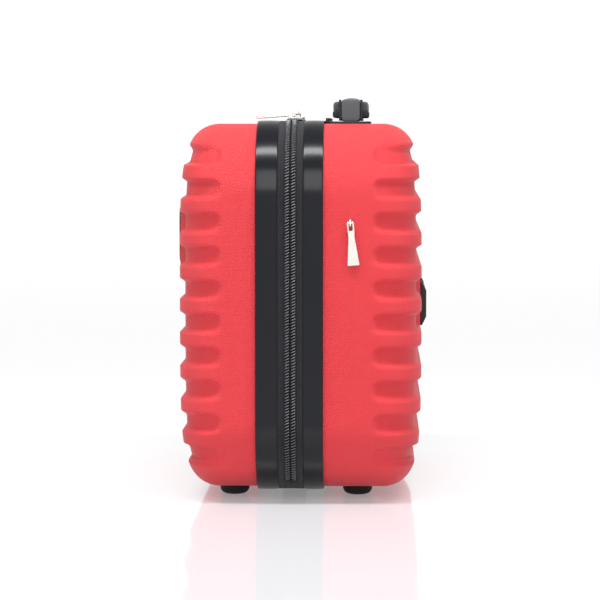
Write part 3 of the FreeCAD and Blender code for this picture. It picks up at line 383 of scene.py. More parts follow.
trim_low, trim_high = corners_of("front_trim")
_, rear_trim_high = corners_of("rear_trim")
tape_gauge = 0.0008
trim_top = trim_high[0] - half_width
trim_start = zip_plane - trim_high[1]
trim_end = {"front": zip_plane - trim_low[1], "rear": rear_trim_high[1] - zip_plane}


def carry(profile, toward, steps=(2, 2, 24)):
    """A section carried round the case: each of its points keeps its distance from the zip plane and
    its height above the shell, while the outline and its outward direction turn."""
    places, outward, along = outline(*steps)
    back, height = profile[:, None, 0], profile[:, None, 1]
    x = places[None, :, 0] + height * outward[None, :, 0]
    z = places[None, :, 1] + height * outward[None, :, 1]
    y = np.broadcast_to(zip_plane + toward * back, x.shape)
    girth = np.concatenate(((0,), np.cumsum(np.linalg.norm(np.diff(profile, axis=0), axis=1))))
    flat = np.stack(np.broadcast_arrays(along[None, :], girth[:, None]), -1)
    return np.stack((x, y, z), -1), flat


def moulded(name, dark, light, rough, grain, relief, specular=0.5, drift_scale=16.0):
    """A moulded plastic: fine grain in the bump, and slow drifts of its colour and of its gloss."""
    material, tree, shader = new_material(name)
    shader.inputs["Specular IOR Level"].default_value = specular
    place = add_node(tree, "TexCoord").outputs["Object"]
    slow = {"Scale": drift_scale, "Detail": 6.0, "Roughness": 0.6}
    drift = add_node(tree, "TexNoise", slow, {"Vector": place})
    colours = {"data_type": "RGBA", 6: linear(dark), 7: linear(light)}
    tone = add_node(tree, "Mix", colours, {0: drift.outputs[0]})
    tree.links.new(tone.outputs[2], shader.inputs["Base Color"])
    gloss = add_node(tree, "MapRange", {"To Min": rough[0], "To Max": rough[1]}, {"Value": drift.outputs[0]})
    tree.links.new(gloss.outputs[0], shader.inputs["Roughness"])
    pits = add_node(tree, "TexNoise", {"Scale": 1 / grain, "Detail": 3.0}, {"Vector": place})
    bump = add_node(tree, "Bump", {"Strength": 0.6, "Distance": relief}, {"Height": pits.outputs[0]})
    tree.links.new(bump.outputs[0], shader.inputs["Normal"])
    return material


# Extruded ABS, satin polished: a soft broad highlight, broken a little by the extrusion's grain.
trim_abs = moulded("extruded_black_abs", "0C0D12", "121319", (0.17, 0.24), 0.0016, 0.00002, 0.26)

for half, toward, depth, body in case_halves:
    start, end = trim_start, trim_end[half]
    arc = np.linspace(0, math.pi / 2, 6)
    soft = 0.0009
    across = np.linspace(-1, 1, 7)[1:-1]
    crown = 0.00025 * (1 - across**2)
    middle, reach = (start + end) / 2, (end - start) / 2 - soft
    shoulder = trim_top - 0.00025
    section = np.concatenate(
        (
            [(start, tape_gauge)],
            np.stack((start + soft * (1 - np.cos(arc)), shoulder - soft * (1 - np.sin(arc))), -1),
            np.stack((middle + across * reach, shoulder + crown), -1),
            np.stack((end - soft * (1 - np.cos(arc[::-1])), shoulder - soft * (1 - np.sin(arc[::-1]))), -1),
            [(end, tape_gauge), (start, tape_gauge)],
        )
    )
    grid = carry(section, toward)
    make_piece(f"{half}_edge_trim", [grid], body, trim_abs, (f"{half}_trim",), crease=50)

# ---------------------------------------------------------------- zip tapes
# Woven polyester tape, 0.8 mm, with three corded ribs beside the coil. It lies on the shell's
# edge under the trim and rises over the gap to carry the coil.

# Polyester twill: matt, with a lint-grey bloom on the crowns of the yarns. Real yarns lie
# 0.4 mm apart; the weave is drawn at 0.9 mm so that it shows.
tape_twill, tree, shader = new_material("woven_black_polyester")
shader.inputs["Specular IOR Level"].default_value = 0.25
shader.inputs["Sheen Weight"].default_value = 0.12
shader.inputs["Sheen Roughness"].default_value = 0.5
yarn_pitch = 0.0009
place = add_node(tree, "TexCoord")
flat = add_node(tree, "SeparateXYZ", links={0: place.outputs["UV"]})
yarns = []
for axis, ratio in (("X", 1.0), ("Y", 0.8)):
    yarns.append(wave(tree, flat.outputs[axis], yarn_pitch * ratio))
weave = add_node(tree, "Math", {"operation": "MULTIPLY"}, {0: yarns[0].outputs[0], 1: yarns[1].outputs[0]})
lift = add_node(tree, "MapRange", {"From Min": -1.0}, {"Value": weave.outputs[0]})
lint = add_node(tree, "TexNoise", {"Scale": 260.0, "Detail": 5.0}, {"Vector": place.outputs["Object"]})
mixed = add_node(tree, "Math", {"operation": "MULTIPLY"}, {0: lift.outputs[0], 1: lint.outputs[0]})
colours = {"data_type": "RGBA", 6: linear("101014"), 7: linear("3A3B41")}
tone = add_node(tree, "Mix", colours, {0: mixed.outputs[0]})
tree.links.new(tone.outputs[2], shader.inputs["Base Color"])
rough = add_node(tree, "MapRange", {"To Min": 0.75, "To Max": 0.92}, {"Value": lint.outputs[0]})
tree.links.new(rough.outputs[0], shader.inputs["Roughness"])
relief = add_node(tree, "Bump", {"Strength": 0.7, "Distance": 0.00018}, {"Height": lift.outputs[0]})
tree.links.new(relief.outputs[0], shader.inputs["Normal"])

tape_rise = 0.0014
tape_top = tape_rise + tape_gauge
seam = 0.00015
coil_width = 0.00505
for half, toward, depth, body in case_halves:
    ribs = np.linspace(coil_width + seam, trim_start - 0.0003, 34)
    bulge = 0.00042 * np.abs(np.sin((ribs - ribs[0]) / (ribs[-1] - ribs[0]) * 3 * math.pi)) ** 0.8
    upper = np.stack((ribs, tape_top - 0.0002 + bulge), -1)
    section = np.concatenate(
        (
            [(seam, tape_rise), (seam, tape_top), (coil_width + seam - 0.0004, tape_top)],
            upper,
            [(trim_start, tape_top - 0.0006), (trim_start + 0.0003, tape_gauge - 0.00002)],
            [(0.0238, tape_gauge - 0.00002), (0.0240, tape_gauge / 2), (0.0238, 0.00002)],
            [(trim_start - 0.0006, 0.00002)],
            [(trim_start - 0.0012, tape_rise - 0.0004), (trim_start - 0.0022, tape_rise), (seam, tape_rise)],
        )
    )
    grid = carry(section, toward, (40, 40, 28))
    make_piece(f"{half}_tape", [grid], body, tape_twill, (f"{half}_zip_tape",), crease=60)

# ---------------------------------------------------------------- zip coils
# A nylon coil on each tape: one slanted turn every 2.5 mm, locked to its neighbour along the
# middle and sewn down by two rows of chain stitch. The two coils' turns lean opposite ways.

# Nylon monofilament: dark, with a small hard glint on each turn.
coil_nylon = moulded("nylon_monofilament", "1A1B1E", "34353C", (0.16, 0.26), 0.0008, 0.00002, 1.0, 60.0)
stitch_yarn = moulded("bonded_black_thread", "0C0C0E", "17171A", (0.6, 0.8), 0.0004, 0.00006, 0.2, 120.0)

coil_top_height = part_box("front_zip_coil")[1][0] - half_width
coil_end = 0.021
turn_pitch = 0.0025


def path_by_distance(pitch):
    """Evenly spaced places along the outline above the coil's ends, from right over the top to left."""
    places, outward, along = outline(60, 60, 60)
    keep = places[:, 1] >= coil_end
    first, last = np.argmax(keep), len(keep) - 1 - np.argmax(keep[::-1])
    kept = slice(first, last + 1)
    places, outward, along = places[kept], outward[kept], along[kept]
    length = along[-1] - along[0]
    count = int(length / pitch)
    spots = along[0] + (np.arange(count) + 0.5) * length / count
    place = np.stack([np.interp(spots, along, places[:, i]) for i in (0, 1)], -1)
    way = np.stack([np.interp(spots, along, outward[:, i]) for i in (0, 1)], -1)
    return place, way / np.linalg.norm(way, axis=1, keepdims=True)


def capsules(place, way, toward, middle, height, reach, thick, tall, slant, rings=4, sides=6):
    """Rounded bars set across a path: a spindle of round sections, its girth a half ellipse at both ends,
    slanted in the surface and stood at a height above it."""
    run = np.linspace(-1, 1, 2 * rings + 1)
    girth = np.sqrt(np.maximum(1 - np.abs(run) ** 4, 0))
    turn = np.linspace(0, 2 * math.pi, sides + 1)
    across = (run * reach)[:, None] * np.ones(sides + 1)[None, :]
    sway = thick * girth[:, None] * np.cos(turn)[None, :] + across * math.tan(slant) * toward
    stand = height + tall * girth[:, None] * np.sin(turn)[None, :]
    ahead = np.stack((-way[:, 1], way[:, 0]), -1)
    x = place[:, None, None, 0] + sway * ahead[:, None, None, 0] + stand * way[:, None, None, 0]
    z = place[:, None, None, 1] + sway * ahead[:, None, None, 1] + stand * way[:, None, None, 1]
    y = np.broadcast_to(zip_plane + toward * (middle + across), x.shape)
    return np.stack((x, y, z), -1), np.stack(np.broadcast_arrays(run[:, None], turn[None, :]), -1)


turn_places, turn_ways = path_by_distance(turn_pitch)
ahead = np.stack((-turn_ways[:, 1], turn_ways[:, 0]), -1)
thread = 0.00048
tall = (coil_top_height - tape_top) / 2
for half, toward, depth, body in case_halves:
    turns = capsules(
        turn_places + 0.25 * turn_pitch * toward * ahead,
        turn_ways,
        toward,
        seam + coil_width / 2,
        tape_top + tall,
        coil_width / 2 - 0.0001,
        0.00082,
        tall,
        math.radians(22),
    )
    make_piece(f"{half}_coil_turns", [turns], body, coil_nylon, (f"{half}_zip_coil",), crease=80)
    rows = []
    for back in (0.0018, 0.0036):
        turn = np.linspace(0, 2 * math.pi, 7)
        run = np.linspace(-1, 1, 7)
        girth = 0.7 + 0.3 * np.cos(run * math.pi / 2)
        sway = (run * turn_pitch * 0.52)[:, None] * np.ones(7)[None, :]
        side = thread * girth[:, None] * np.cos(turn)[None, :]
        arch = 0.00022 * np.cos(run * math.pi)[:, None]
        stand = coil_top_height - 0.00075 + arch + thread * 0.8 * girth[:, None] * np.sin(turn)[None, :]
        x, z = (
            turn_places[:, None, None, axis]
            + sway * ahead[:, None, None, axis]
            + stand * turn_ways[:, None, None, axis]
            for axis in (0, 1)
        )
        y = np.broadcast_to(zip_plane + toward * (back + side), x.shape)
        rows.append((np.stack((x, y, z), -1), np.stack(np.broadcast_arrays(run[:, None], turn[None, :]), -1)))
    make_piece(f"{half}_coil_stitches", rows, body, stitch_yarn, crease=80)

# Blackened brass stops crimped on each coil's two ends; the CAD clips are right as they are. The
# blackening is dull and a little uneven.
stop_black = moulded("blackened_brass", "0E0E10", "1B1B1E", (0.35, 0.5), 0.0006, 0.00004, 0.3, 90.0)

# Die-cast or bent metal with a warm bright plating, faintly pitted and dulled in the hollows.
nickel, tree, shader = new_material("plated_satin_nickel")
shader.inputs["Metallic"].default_value = 1.0
place = add_node(tree, "TexCoord").outputs["Object"]
cloud = add_node(tree, "TexNoise", {"Scale": 70.0, "Detail": 4.0, "Roughness": 0.55}, {"Vector": place})
colours = {"data_type": "RGBA", 6: linear("E2DCD3"), 7: linear("F6F2EB")}
tone = add_node(tree, "Mix", colours, {0: cloud.outputs[0]})
tree.links.new(tone.outputs[2], shader.inputs["Base Color"])
gloss = add_node(tree, "MapRange", {"To Min": 0.20, "To Max": 0.34}, {"Value": cloud.outputs[0]})
tree.links.new(gloss.outputs[0], shader.inputs["Roughness"])
pits = add_node(tree, "TexNoise", {"Scale": 900.0, "Detail": 2.0}, {"Vector": place})
cast = add_node(tree, "Bump", {"Strength": 0.25, "Distance": 0.00002}, {"Height": pits.outputs[0]})
tree.links.new(cast.outputs[0], shader.inputs["Normal"])


def finish_node(name, material, soften=0.0):
    """Give a CAD node its material, and break its sharp edges by a small round where asked."""
    node = frame["nodes"][name]
    node.data.materials.clear()
    node.data.materials.append(material)
    if soften:
        weld = node.modifiers.new("weld", "WELD")
        weld.merge_threshold = 0.000005
        broken = node.modifiers.new("broken_edges", "BEVEL")
        broken.width = soften
        broken.segments = 2
        broken.limit_method = "ANGLE"
        broken.angle_limit = math.radians(35)


for half in ("front", "rear"):
    finish_node(f"{half}_zip_stops", stop_black, 0.0003)

# ---------------------------------------------------------------- sliders, pulls and strap tabs
# Zinc castings, nickel plated: two sliders that meet at the middle of the top with a tapered
# pull each, and the same tapered tab hung from a wire staple on each side of the rear half.


def tapered_tab(place):
    """A tab from its eye to its wide end: a rounded plate of changing width round a slotted eye.

    The outer and inner outlines are joined over both faces, with the rims drawn in to round them."""
    bar, length, thick = 0.0011, 0.0375, 0.002
    end = bar - length
    outer = np.array(
        [
            (0.00305, bar - 0.0012),
            (0.0023, bar),
            (-0.0023, bar),
            (-0.00305, bar - 0.0012),
            (-0.00305, -0.0055 - bar),
            (-0.0027, bar - 0.0125),
            (-0.00505, end + 0.0006),
            (-0.00465, end),
            (0.00465, end),
            (0.00505, end + 0.0006),
            (0.0027, bar - 0.0125),
            (0.00305, -0.0055 - bar),
        ]
    )
    low = -0.0055 - bar
    inner = np.array(
        [
            (0.0015, -bar),
            (0.0010, -bar),
            (-0.0010, -bar),
            (-0.0015, -bar),
            (-0.0015, low + 0.0008),
            (-0.0013, low + 0.0002),
            (-0.0008, low),
            (-0.0004, low),
            (0.0004, low),
            (0.0008, low),
            (0.0013, low + 0.0002),
            (0.0015, low + 0.0008),
        ]
    )
    outer, inner = (np.vstack((ring, ring[:1])) for ring in (outer, inner))
    soft = 0.00035
    half = thick / 2

    def at(ring, height):
        """An outline lifted to a height."""
        return np.column_stack((ring, np.full(len(ring), height)))

    shrunk = outer + soft * np.sign(np.array((0, (bar + end) / 2)) - outer) * (0.9, 1)
    widened = inner + soft * 0.6 * np.sign(inner - np.array((0, (low - bar) / 2)))
    loops = [
        at(inner, 0),
        at(inner, half - soft),
        at(widened, half),
        at(shrunk, half),
        at(outer, half - soft),
        at(outer, -half + soft),
        at(shrunk, -half),
        at(widened, -half),
        at(inner, -half + soft),
        at(inner, 0),
    ]
    grid = np.stack(loops)
    return place(grid), grid[..., :2]


# The pulls droop a little, and a side tab leans a little as it hangs.
pull_droop = math.radians(4)
tilt = math.radians(4.5)
for hand, sign in (("left", -1), ("right", 1)):
    finish_node(f"zip_slider_{hand}", nickel, 0.0004)
    finish_node(f"strap_staple_{hand}", nickel)
    axis_x = sign * 0.015
    flip = next(joint for joint in frame["joints"] if joint["name"] == f"pull_flip_{hand}")
    axis_z = flip["pos_m"][2]

    def lie(grid):
        """A pull laid forward from its slider, its end drooping a little."""
        back = grid[..., 1] * math.cos(pull_droop) - grid[..., 2] * math.sin(pull_droop)
        up = grid[..., 1] * math.sin(pull_droop) + grid[..., 2] * math.cos(pull_droop)
        return np.stack((axis_x + grid[..., 0], zip_plane + back, axis_z + up), -1)

    pull, covered = [tapered_tab(lie)], (f"zip_pull_{hand}",)
    make_piece(f"pull_tab_{hand}", pull, f"pull_{hand}", nickel, covered, crease=30)
    tab_low, tab_high = corners_of(f"strap_tab_{hand}")
    hang_x, hang_y, _ = (tab_low + tab_high) / 2
    hang_z = tab_high[2] - 0.0011

    def hang(grid):
        """A tab hung from its staple, leaning a little."""
        side, down = grid[..., 0], grid[..., 1]
        return np.stack(
            (
                hang_x + grid[..., 2],
                hang_y + side * math.cos(tilt) - down * math.sin(tilt),
                hang_z + down * math.cos(tilt) + side * math.sin(tilt),
            ),
            -1,
        )

    tab, covered = [tapered_tab(hang)], (f"strap_tab_{hand}",)
    make_piece(f"side_tab_{hand}", tab, f"strap_tab_{hand}", nickel, covered, crease=30)

# ---------------------------------------------------------------- carry handle
# A moulded base plate screwed through the top of the rear shell, two end mounts, and a grip in
# two moulded halves clamped over steel forks whose cross pins slide up and down in the mounts.


def slab(corners, radius, low, high, soft, crown=0.0, steps=5, crown_rings=4):
    """A plate of any convex outline: loops with its corners rounded, drawn in by a quarter circle at
    both ends, and closed by a pole at each end, the upper one raised to a crown."""
    corners = np.array(corners, float)
    edges = np.roll(corners, -1, 0) - corners
    edges /= np.linalg.norm(edges, axis=1, keepdims=True)
    normals = np.stack((edges[:, 1], -edges[:, 0]), -1)
    before = np.roll(normals, 1, 0)
    between = before + normals
    between /= np.linalg.norm(between, axis=1, keepdims=True)
    cosine = (between * normals).sum(1)
    centres = corners - between * (radius / cosine)[:, None]
    angle = np.arctan2(before[:, 1], before[:, 0])
    swing = np.arctan2(normals[:, 1], normals[:, 0]) - angle
    swing = (swing + math.pi) % (2 * math.pi) - math.pi
    turn = angle[:, None] + swing[:, None] * np.linspace(0, 1, steps + 1)[None, :]
    way = np.stack((np.cos(turn), np.sin(turn)), -1).reshape(-1, 2)
    hub = np.repeat(centres, steps + 1, 0)
    way, hub = np.vstack((way, way[:1])), np.vstack((hub, hub[:1]))
    rim = np.linspace(0, math.pi / 2, 5)
    inset = np.concatenate((soft * (1 - np.sin(rim)), soft * (1 - np.cos(rim))))
    level = np.concatenate((low + soft * (1 - np.cos(rim)), high - soft * (1 - np.sin(rim))))
    ring = hub[None] + (radius - inset)[:, None, None] * way[None]
    loops = np.concatenate((ring, np.broadcast_to(level[:, None, None], (*ring.shape[:2], 1))), -1)
    middle = ring[0].mean(0)
    share = np.linspace(1, 0, crown_rings + 1)[1:]
    cap = middle + share[:, None, None] * (ring[-1] - middle)
    rise = (high + crown * (1 - share**2))[:, None, None]
    cap = np.concatenate((cap, np.broadcast_to(rise, (*cap.shape[:2], 1))), -1)
    floor = np.full((*ring[:1].shape[:2], 1), low)
    pole = np.concatenate((np.broadcast_to(middle, ring[:1].shape), floor), -1)
    grid = np.concatenate((pole, loops, cap))
    girth = np.concatenate(((0,), np.cumsum(np.linalg.norm(np.diff(ring[4], axis=0), axis=1))))
    rows = np.linspace(0, high - low, len(grid))
    return grid, np.stack(np.broadcast_arrays(girth[None, :], rows[:, None]), -1)


def rectangle(low, high):
    """Four corners, counter-clockwise."""
    return [(low[0], low[1]), (high[0], low[1]), (high[0], high[1]), (low[0], high[1])]


def across_x(patch):
    """A slab drawn in y and z and thick along x."""
    grid, flat = patch
    return grid[..., [2, 0, 1]], flat


# Injection-moulded ABS with a light spark grain: black for the working parts; the grip's upper half is
# painted a lighter grey, a painted reflection of the soft box on its top.
black_moulded = moulded("moulded_black_abs", "131316", "1B1B1F", (0.36, 0.50), 0.0007, 0.00004, 0.4)
# painted reflection: this grey stands for the soft box's sheen on the grip's upper half
sheen_painted_grey = moulded("moulded_grey_abs", "36373C", "414248", (0.30, 0.44), 0.0007, 0.00004, 0.5)
mount_grey = moulded("moulded_graphite_abs", "43484B", "4D5356", (0.38, 0.52), 0.0008, 0.00004, 0.45)

base_low, base_high = corners_of("handle_base_plate")
plate_top = base_low[2] + 0.002
plate = slab(rectangle(base_low, base_high), 0.006, base_low[2], plate_top, 0.0007)
lip_rest = rectangle((base_low[0] + 0.008, base_low[1]), (base_high[0] - 0.008, base_low[1] + 0.003))
lip = slab(lip_rest, 0.0012, base_low[2] + 0.0005, base_high[2], 0.0008)
covered = ("handle_base_plate",)
make_piece("handle_plate", [plate, lip], "rear_case", black_moulded, covered, crease=35)

for hand in ("left", "right"):
    low, high = corners_of(f"handle_mount_{hand}")
    block = [across_x(slab(rectangle(low[1:], high[1:]), 0.0034, low[0], high[0], 0.0008))]
    name, covered = f"handle_end_mount_{hand}", (f"handle_mount_{hand}",)
    make_piece(name, block, "rear_case", mount_grey, covered, crease=35)

low, high = corners_of("handle_grip_lower")
lower = [across_x(slab(rectangle(low[1:], high[1:]), 0.0022, low[0], high[0], 0.0012))]
covered = ("handle_grip_lower",)
make_piece("grip_lower_half", lower, "carry_grip", black_moulded, covered, crease=35)

# The upper half: a flat-topped section with rounded shoulders, whose middle strip rises in one
# shallow arch from end to end.
low, high = corners_of("handle_grip_upper")
grip_crown = 0.0039
along = np.linspace(-1, 1, 41)
shoulder = high[2] - grip_crown
rise = grip_crown * (1 - along**2)
turn = np.linspace(0, math.pi / 2, 8)
half_grip, middle_y = (high[1] - low[1]) / 2, (high[1] + low[1]) / 2
grip_round = 0.0032
strip_half = 0.0115
flat_top = np.linspace(-1, 1, 21)[1:-1] * (half_grip - grip_round)
over = np.concatenate(
    (
        np.stack((-half_grip + grip_round * (1 - np.cos(turn)), np.sin(turn) - 1), -1),
        np.stack((flat_top, np.zeros_like(flat_top)), -1),
        np.stack((half_grip - grip_round * (1 - np.cos(turn[::-1])), np.sin(turn[::-1]) - 1), -1),
    )
)
side_y, side_z = over[:, 0], over[:, 1] * grip_round
taper = np.clip((1 - np.abs(along)) * high[0] / 0.0016, 0, 1)
drawn = 0.0014 * (1 - np.sqrt(1 - (1 - taper) ** 2))
section_y = np.concatenate(((side_y[0],), side_y, (side_y[-1],), (0,)))
section_z = np.concatenate(((0,), side_z, (0,), (0,)))
fixed = np.concatenate(((True,), np.zeros(len(side_y), bool), (True, True)))
grid_x = np.broadcast_to(along[:, None] * high[0], (len(along), len(section_y)))
narrowed = np.maximum(np.abs(section_y)[None] - drawn[:, None] * 0.6, 0)
grid_y = middle_y + np.sign(section_y)[None] * narrowed
strip = np.cos(np.clip(section_y / strip_half, -1, 1) * math.pi / 2) ** 0.8
top_z = shoulder + rise[:, None] * strip[None] + section_z[None] - drawn[:, None]
grid_z = np.where(fixed[None], low[2], top_z)
upper = np.stack((grid_x, grid_y, grid_z), -1)
upper = np.concatenate((upper, upper[:, :1]), 1)
core = np.array((0, middle_y, (low[2] + shoulder) / 2))
end_caps = [np.broadcast_to(core * (0, 1, 1) + (x, 0, 0), upper[:1].shape) for x in (low[0], high[0])]
upper = np.concatenate((end_caps[0], upper, end_caps[1]))
lengthwise, girthwise = np.linspace(0, 0.154, len(upper)), np.linspace(0, 0.08, upper.shape[1])
upper_flat = np.stack(np.broadcast_arrays(lengthwise[:, None], girthwise[None]), -1)
grip = [(upper, upper_flat)]
covered = ("handle_grip_upper",)
# the upper half is painted grey, a painted reflection of the soft box
make_piece("grip_upper_half", grip, "carry_grip", sheen_painted_grey, covered, crease=40)

# Pressed steel forks, black coated; the pins and screws are bright steel.
fork_coat = moulded("powder_coated_steel", "0E0F11", "17181B", (0.42, 0.58), 0.0005, 0.00004, 0.4)
steel, tree, shader = new_material("zinc_plated_steel")
shader.inputs["Metallic"].default_value = 1.0
place = add_node(tree, "TexCoord").outputs["Object"]
bloom = add_node(tree, "TexVoronoi", {"Scale": 420.0}, {"Vector": place})
colours = {"data_type": "RGBA", 6: linear("8E9196"), 7: linear("B9BCC1")}
tone = add_node(tree, "Mix", colours, {0: bloom.outputs[0]})
tree.links.new(tone.outputs[2], shader.inputs["Base Color"])
gloss = add_node(tree, "MapRange", {"To Min": 0.28, "To Max": 0.45}, {"Value": bloom.outputs[0]})
tree.links.new(gloss.outputs[0], shader.inputs["Roughness"])
for hand in ("left", "right"):
    finish_node(f"handle_fork_{hand}", fork_coat, 0.0003)
    finish_node(f"handle_pin_{hand}", steel, 0.0002)
    finish_node(f"strap_plate_{hand}", steel)
hidden_steel = ("handle_backing_plate", "handle_screws", "front_foot_screws", "rear_foot_screws")
for name in (*hidden_steel, "strap_guide_screws"):
    finish_node(name, steel, 0.0002)

# ---------------------------------------------------------------- strap guide and badge
# The guide is a black moulding across the back: two chamfered end blocks joined by a flat band
# that stands clear of the shell. The badge is a plain domed plate without any mark.

guide_low, guide_high = corners_of("strap_guide")
end_wide, band_gauge = 0.018, 0.002
band_low, band_high = guide_low[2] + 0.008, guide_high[2] - 0.008
chamfer_up, chamfer_out = 0.008, 0.0038
blocks = []
for sign in (-1, 1):
    side = [
        (guide_low[1], guide_low[2]),
        (guide_high[1] - chamfer_out, guide_low[2]),
        (guide_high[1], guide_low[2] + chamfer_up),
        (guide_high[1], guide_high[2] - chamfer_up),
        (guide_high[1] - chamfer_out, guide_high[2]),
        (guide_low[1], guide_high[2]),
    ]
    start = guide_low[0] if sign < 0 else guide_high[0] - end_wide
    blocks.append(across_x(slab(side, 0.0009, start, start + end_wide, 0.0007)))
inner = guide_high[0] - end_wide + 0.002
band_rest = rectangle((guide_high[1] - band_gauge, band_low), (guide_high[1], band_high))
blocks.append(across_x(slab(band_rest, 0.0007, -inner, inner, 0.0004)))
make_piece("back_strap_guide", blocks, "rear_case", black_moulded, ("strap_guide",), crease=35)

badge_low, badge_high = corners_of("front_badge")
badge_back = front_low[1]
badge_gauge = badge_back - badge_low[1]
badge_round, badge_soft, badge_crown = 0.009, 0.0006, 0.0006
badge_rest = rectangle(badge_low[[0, 2]], badge_high[[0, 2]])
plate_face = badge_gauge - badge_crown
grid, flat = slab(badge_rest, badge_round, -0.0010, plate_face, badge_soft, badge_crown, steps=8)
badge_grid = np.stack((grid[..., 0], badge_back - grid[..., 2], grid[..., 1]), -1)
# Polished black ABS: a sharp plain gloss.
badge_black = moulded("polished_black_abs", "101013", "17171B", (0.12, 0.2), 0.002, 0.00002, 0.5)
badge = [(badge_grid, flat)]
make_piece("plain_badge", badge, "front_case", badge_black, ("front_badge",), crease=35)

# ---------------------------------------------------------------- feet
# Four small turned feet of hard black rubber, each held by a screw from inside.

# Moulded rubber: matt and nearly black.
rubber = moulded("moulded_black_rubber", "0B0B0D", "161618", (0.5, 0.7), 0.0006, 0.00006, 0.35)
for half, toward, depth, body in case_halves:
    for hand in ("left", "right"):
        low, high = corners_of(f"{half}_foot_{hand}")
        middle, radius, tall = (low + high) / 2, (high[0] - low[0]) / 2, high[2] - low[2]
        sweep = np.linspace(0, math.pi / 2, 9)
        flat_radius = 0.0075
        bulge = flat_radius + (radius - flat_radius) * np.sin(sweep)
        climb = 0.0002 + tall * 0.62 * (1 - np.cos(sweep))
        profile_r = np.concatenate(((0,), (flat_radius * 0.96,), bulge, (radius, 0)))
        profile_z = np.concatenate(((0.0003,), (0,), climb, (tall, tall)))
        turn = np.linspace(0, 2 * math.pi, 49)
        bowl = np.stack(
            (
                middle[0] + profile_r[:, None] * np.cos(turn)[None],
                middle[1] + profile_r[:, None] * np.sin(turn)[None],
                np.broadcast_to(low[2] + profile_z[:, None], (len(profile_z), len(turn))),
            ),
            -1,
        )
        flat = np.stack(np.broadcast_arrays(turn[None] * radius, profile_z[:, None]), -1)
        foot, covered = f"{half}_rubber_foot_{hand}", f"{half}_foot_{hand}"
        make_piece(foot, [(bowl, flat)], body, rubber, (covered,), crease=50)

# ---------------------------------------------------------------- linings, bindings and pocket
# Thin woven lining glued round the opening under a folded binding tape, standing a little loose
# of the ribs; the lid has a gathered pocket with an elastic hem.

# Polyester lining cloth: matt dark grey with a fine criss-cross weave drawn at 1.4 mm, and soft
# drifts where it has been handled.
lining_cloth, tree, shader = new_material("woven_grey_lining")
shader.inputs["Specular IOR Level"].default_value = 0.2
shader.inputs["Sheen Weight"].default_value = 0.25
place = add_node(tree, "TexCoord")
flat = add_node(tree, "SeparateXYZ", links={0: place.outputs["UV"]})
cloth_pitch = 0.0014
yarns = [wave(tree, flat.outputs[axis], cloth_pitch) for axis in ("X", "Y")]
weave = add_node(tree, "Math", {"operation": "MULTIPLY"}, {0: yarns[0].outputs[0], 1: yarns[1].outputs[0]})
lift = add_node(tree, "MapRange", {"From Min": -1.0}, {"Value": weave.outputs[0]})
wash = add_node(tree, "TexNoise", {"Scale": 30.0, "Detail": 6.0}, {"Vector": place.outputs["Object"]})
mixed = add_node(tree, "Math", {"operation": "MULTIPLY"}, {0: lift.outputs[0], 1: wash.outputs[0]})
colours = {"data_type": "RGBA", 6: linear("2C2C30"), 7: linear("4B4B51")}
tone = add_node(tree, "Mix", colours, {0: mixed.outputs[0]})
tree.links.new(tone.outputs[2], shader.inputs["Base Color"])
rough = add_node(tree, "MapRange", {"To Min": 0.82, "To Max": 0.95}, {"Value": wash.outputs[0]})
tree.links.new(rough.outputs[0], shader.inputs["Roughness"])
relief = add_node(tree, "Bump", {"Strength": 0.6, "Distance": 0.0002}, {"Height": lift.outputs[0]})
tree.links.new(relief.outputs[0], shader.inputs["Normal"])

lining_inset = rear_high[1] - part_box("rear_lining")[1][1]
slack = 0.0012

# Folded polyester tape: matt and nearly black, with a raised grain.
binding_tape = moulded(
    "folded_polyester_binding", "141416", "26262A", (0.7, 0.9), 0.0011, 0.00025, 0.25, 40.0
)
for half, toward, depth, body in case_halves:
    patches = shell_patches(toward, depth, inset=lining_inset + slack)
    for grid, _ in patches:
        # two crossing swells, fading at the glued mouth, stand for the cloth's slack
        away = smooth_step((np.abs(grid[..., 1] - zip_plane) - mouth) / 0.02)
        x, z = grid[..., 0], grid[..., 2]
        swell = np.sin(x / 0.031 + 2.1 * np.sin(z / 0.047)) * np.sin(z / 0.037 + 0.8)
        inward = np.array((0, zip_plane + toward * mouth, (case_low + case_high) / 2)) - grid
        inward /= np.linalg.norm(inward, axis=-1, keepdims=True)
        grid += inward * (slack * 0.5 * (1 + swell) * away)[..., None]
    name, covered = f"{half}_cloth_lining", (f"{half}_lining",)
    cup = make_piece(name, patches, body, lining_cloth, covered, crease=70)
    thick = cup.modifiers.new("cloth", "SOLIDIFY")
    thick.thickness = 0.0008
    thick.offset = -1
    tall = case_high - case_low - 2 * lining_inset
    # The folded tape: a flange against the shell's edge, a strip inside the wall, one drawn loop.
    skirt = -(lining_inset + 0.0009)
    section = np.array(
        [
            (0.0109, -0.0002),
            (0.0121, -0.0002),
            (0.0122, -0.0021),
            (0.0125, -0.0023),
            (0.0175, -0.0023),
            (0.0236, -0.0024),
            (0.0239, -0.0028),
            (0.0239, -0.0037),
            (0.0235, -0.0041),
            (0.0175, -0.0041),
            (0.0126, -0.0042),
            (0.0122, -0.0046),
            (0.0121, skirt),
            (0.0109, skirt),
            (0.0108, -0.0045),
            (0.0108, -0.0010),
            (0.0109, -0.0002),
        ]
    )
    name, covered = f"{half}_folded_binding", (f"{half}_binding",)
    make_piece(name, [carry(section, toward)], body, binding_tape, covered, crease=50)

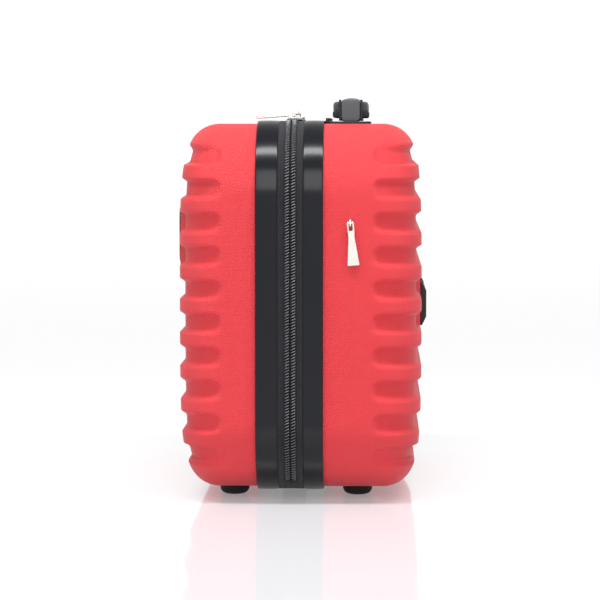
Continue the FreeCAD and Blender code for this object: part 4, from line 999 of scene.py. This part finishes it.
# The pocket: a cloth panel cut wider than the finished pocket, gathered into folds that deepen
# towards its elastic top hem and are pressed flat at the seams.
pocket_low, pocket_high = corners_of("lid_pocket")
pocket_wide, pocket_tall = pocket_high[0] - pocket_low[0], pocket_high[2] - pocket_low[2]
fold_count = 42
across = np.linspace(0, 1, 10 * fold_count + 1)
upward = np.linspace(0, 1, 61)
edge = smooth_step(np.minimum(across, 1 - across) / 0.03)[None, :]
wander = 0.06 * np.sin(across * 37.0)[None, :] + 0.10 * np.sin(upward * 2.6 + 3 * across[None, :].T).T
fold = 0.5 + 0.5 * np.sin(2 * math.pi * (fold_count * across[None, :] + wander))
depth_share = (0.30 + 0.70 * smooth_step(upward))[:, None] * edge * smooth_step(upward / 0.06)[:, None]
pocket_y = pocket_low[1] + 0.0004 + 0.0030 * fold * depth_share
sheet_points = np.stack(
    (
        np.broadcast_to(pocket_low[0] + 0.001 + (pocket_wide - 0.002) * across[None, :], pocket_y.shape),
        pocket_y,
        np.broadcast_to(pocket_low[2] + 0.001 + (pocket_tall - 0.005) * upward[:, None], pocket_y.shape),
    ),
    -1,
)
stretch = np.linalg.norm(np.diff(sheet_points, axis=1), axis=-1).sum(axis=1).mean()
sheet_flat = np.stack(np.broadcast_arrays(across[None, :] * stretch, upward[:, None] * pocket_tall), -1)
cloth, covered = [(sheet_points, sheet_flat)], ("lid_pocket",)
panel = make_piece("gathered_pocket", cloth, "front_case", lining_cloth, covered, crease=70)
panel.modifiers.new("cloth", "SOLIDIFY").thickness = 0.0007
hem_x = np.linspace(pocket_low[0] + 0.001, pocket_high[0] - 0.001, len(across))
hem_turn = np.linspace(0, 2 * math.pi, 13)
ripple = 1 + 0.10 * np.sin(2 * math.pi * fold_count * across)
shut = np.sqrt(np.clip(1 - (2 * across - 1) ** 40, 0, 1))
hem_middle = np.array((pocket_low[1] + 0.0019, pocket_high[2] - 0.0036))
hem = np.stack(
    (
        np.broadcast_to(hem_x[:, None], (len(hem_x), len(hem_turn))),
        hem_middle[0] + (0.0014 * ripple * shut)[:, None] * np.cos(hem_turn)[None, :],
        hem_middle[1] + (0.0033 * shut)[:, None] * np.sin(hem_turn)[None, :],
    ),
    -1,
)
hem_flat = np.stack(np.broadcast_arrays(hem_x[:, None], (hem_turn * 0.0026)[None, :]), -1)
band = make_piece("elastic_hem", [(hem, hem_flat)], "front_case", binding_tape, crease=60)

low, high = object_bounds()
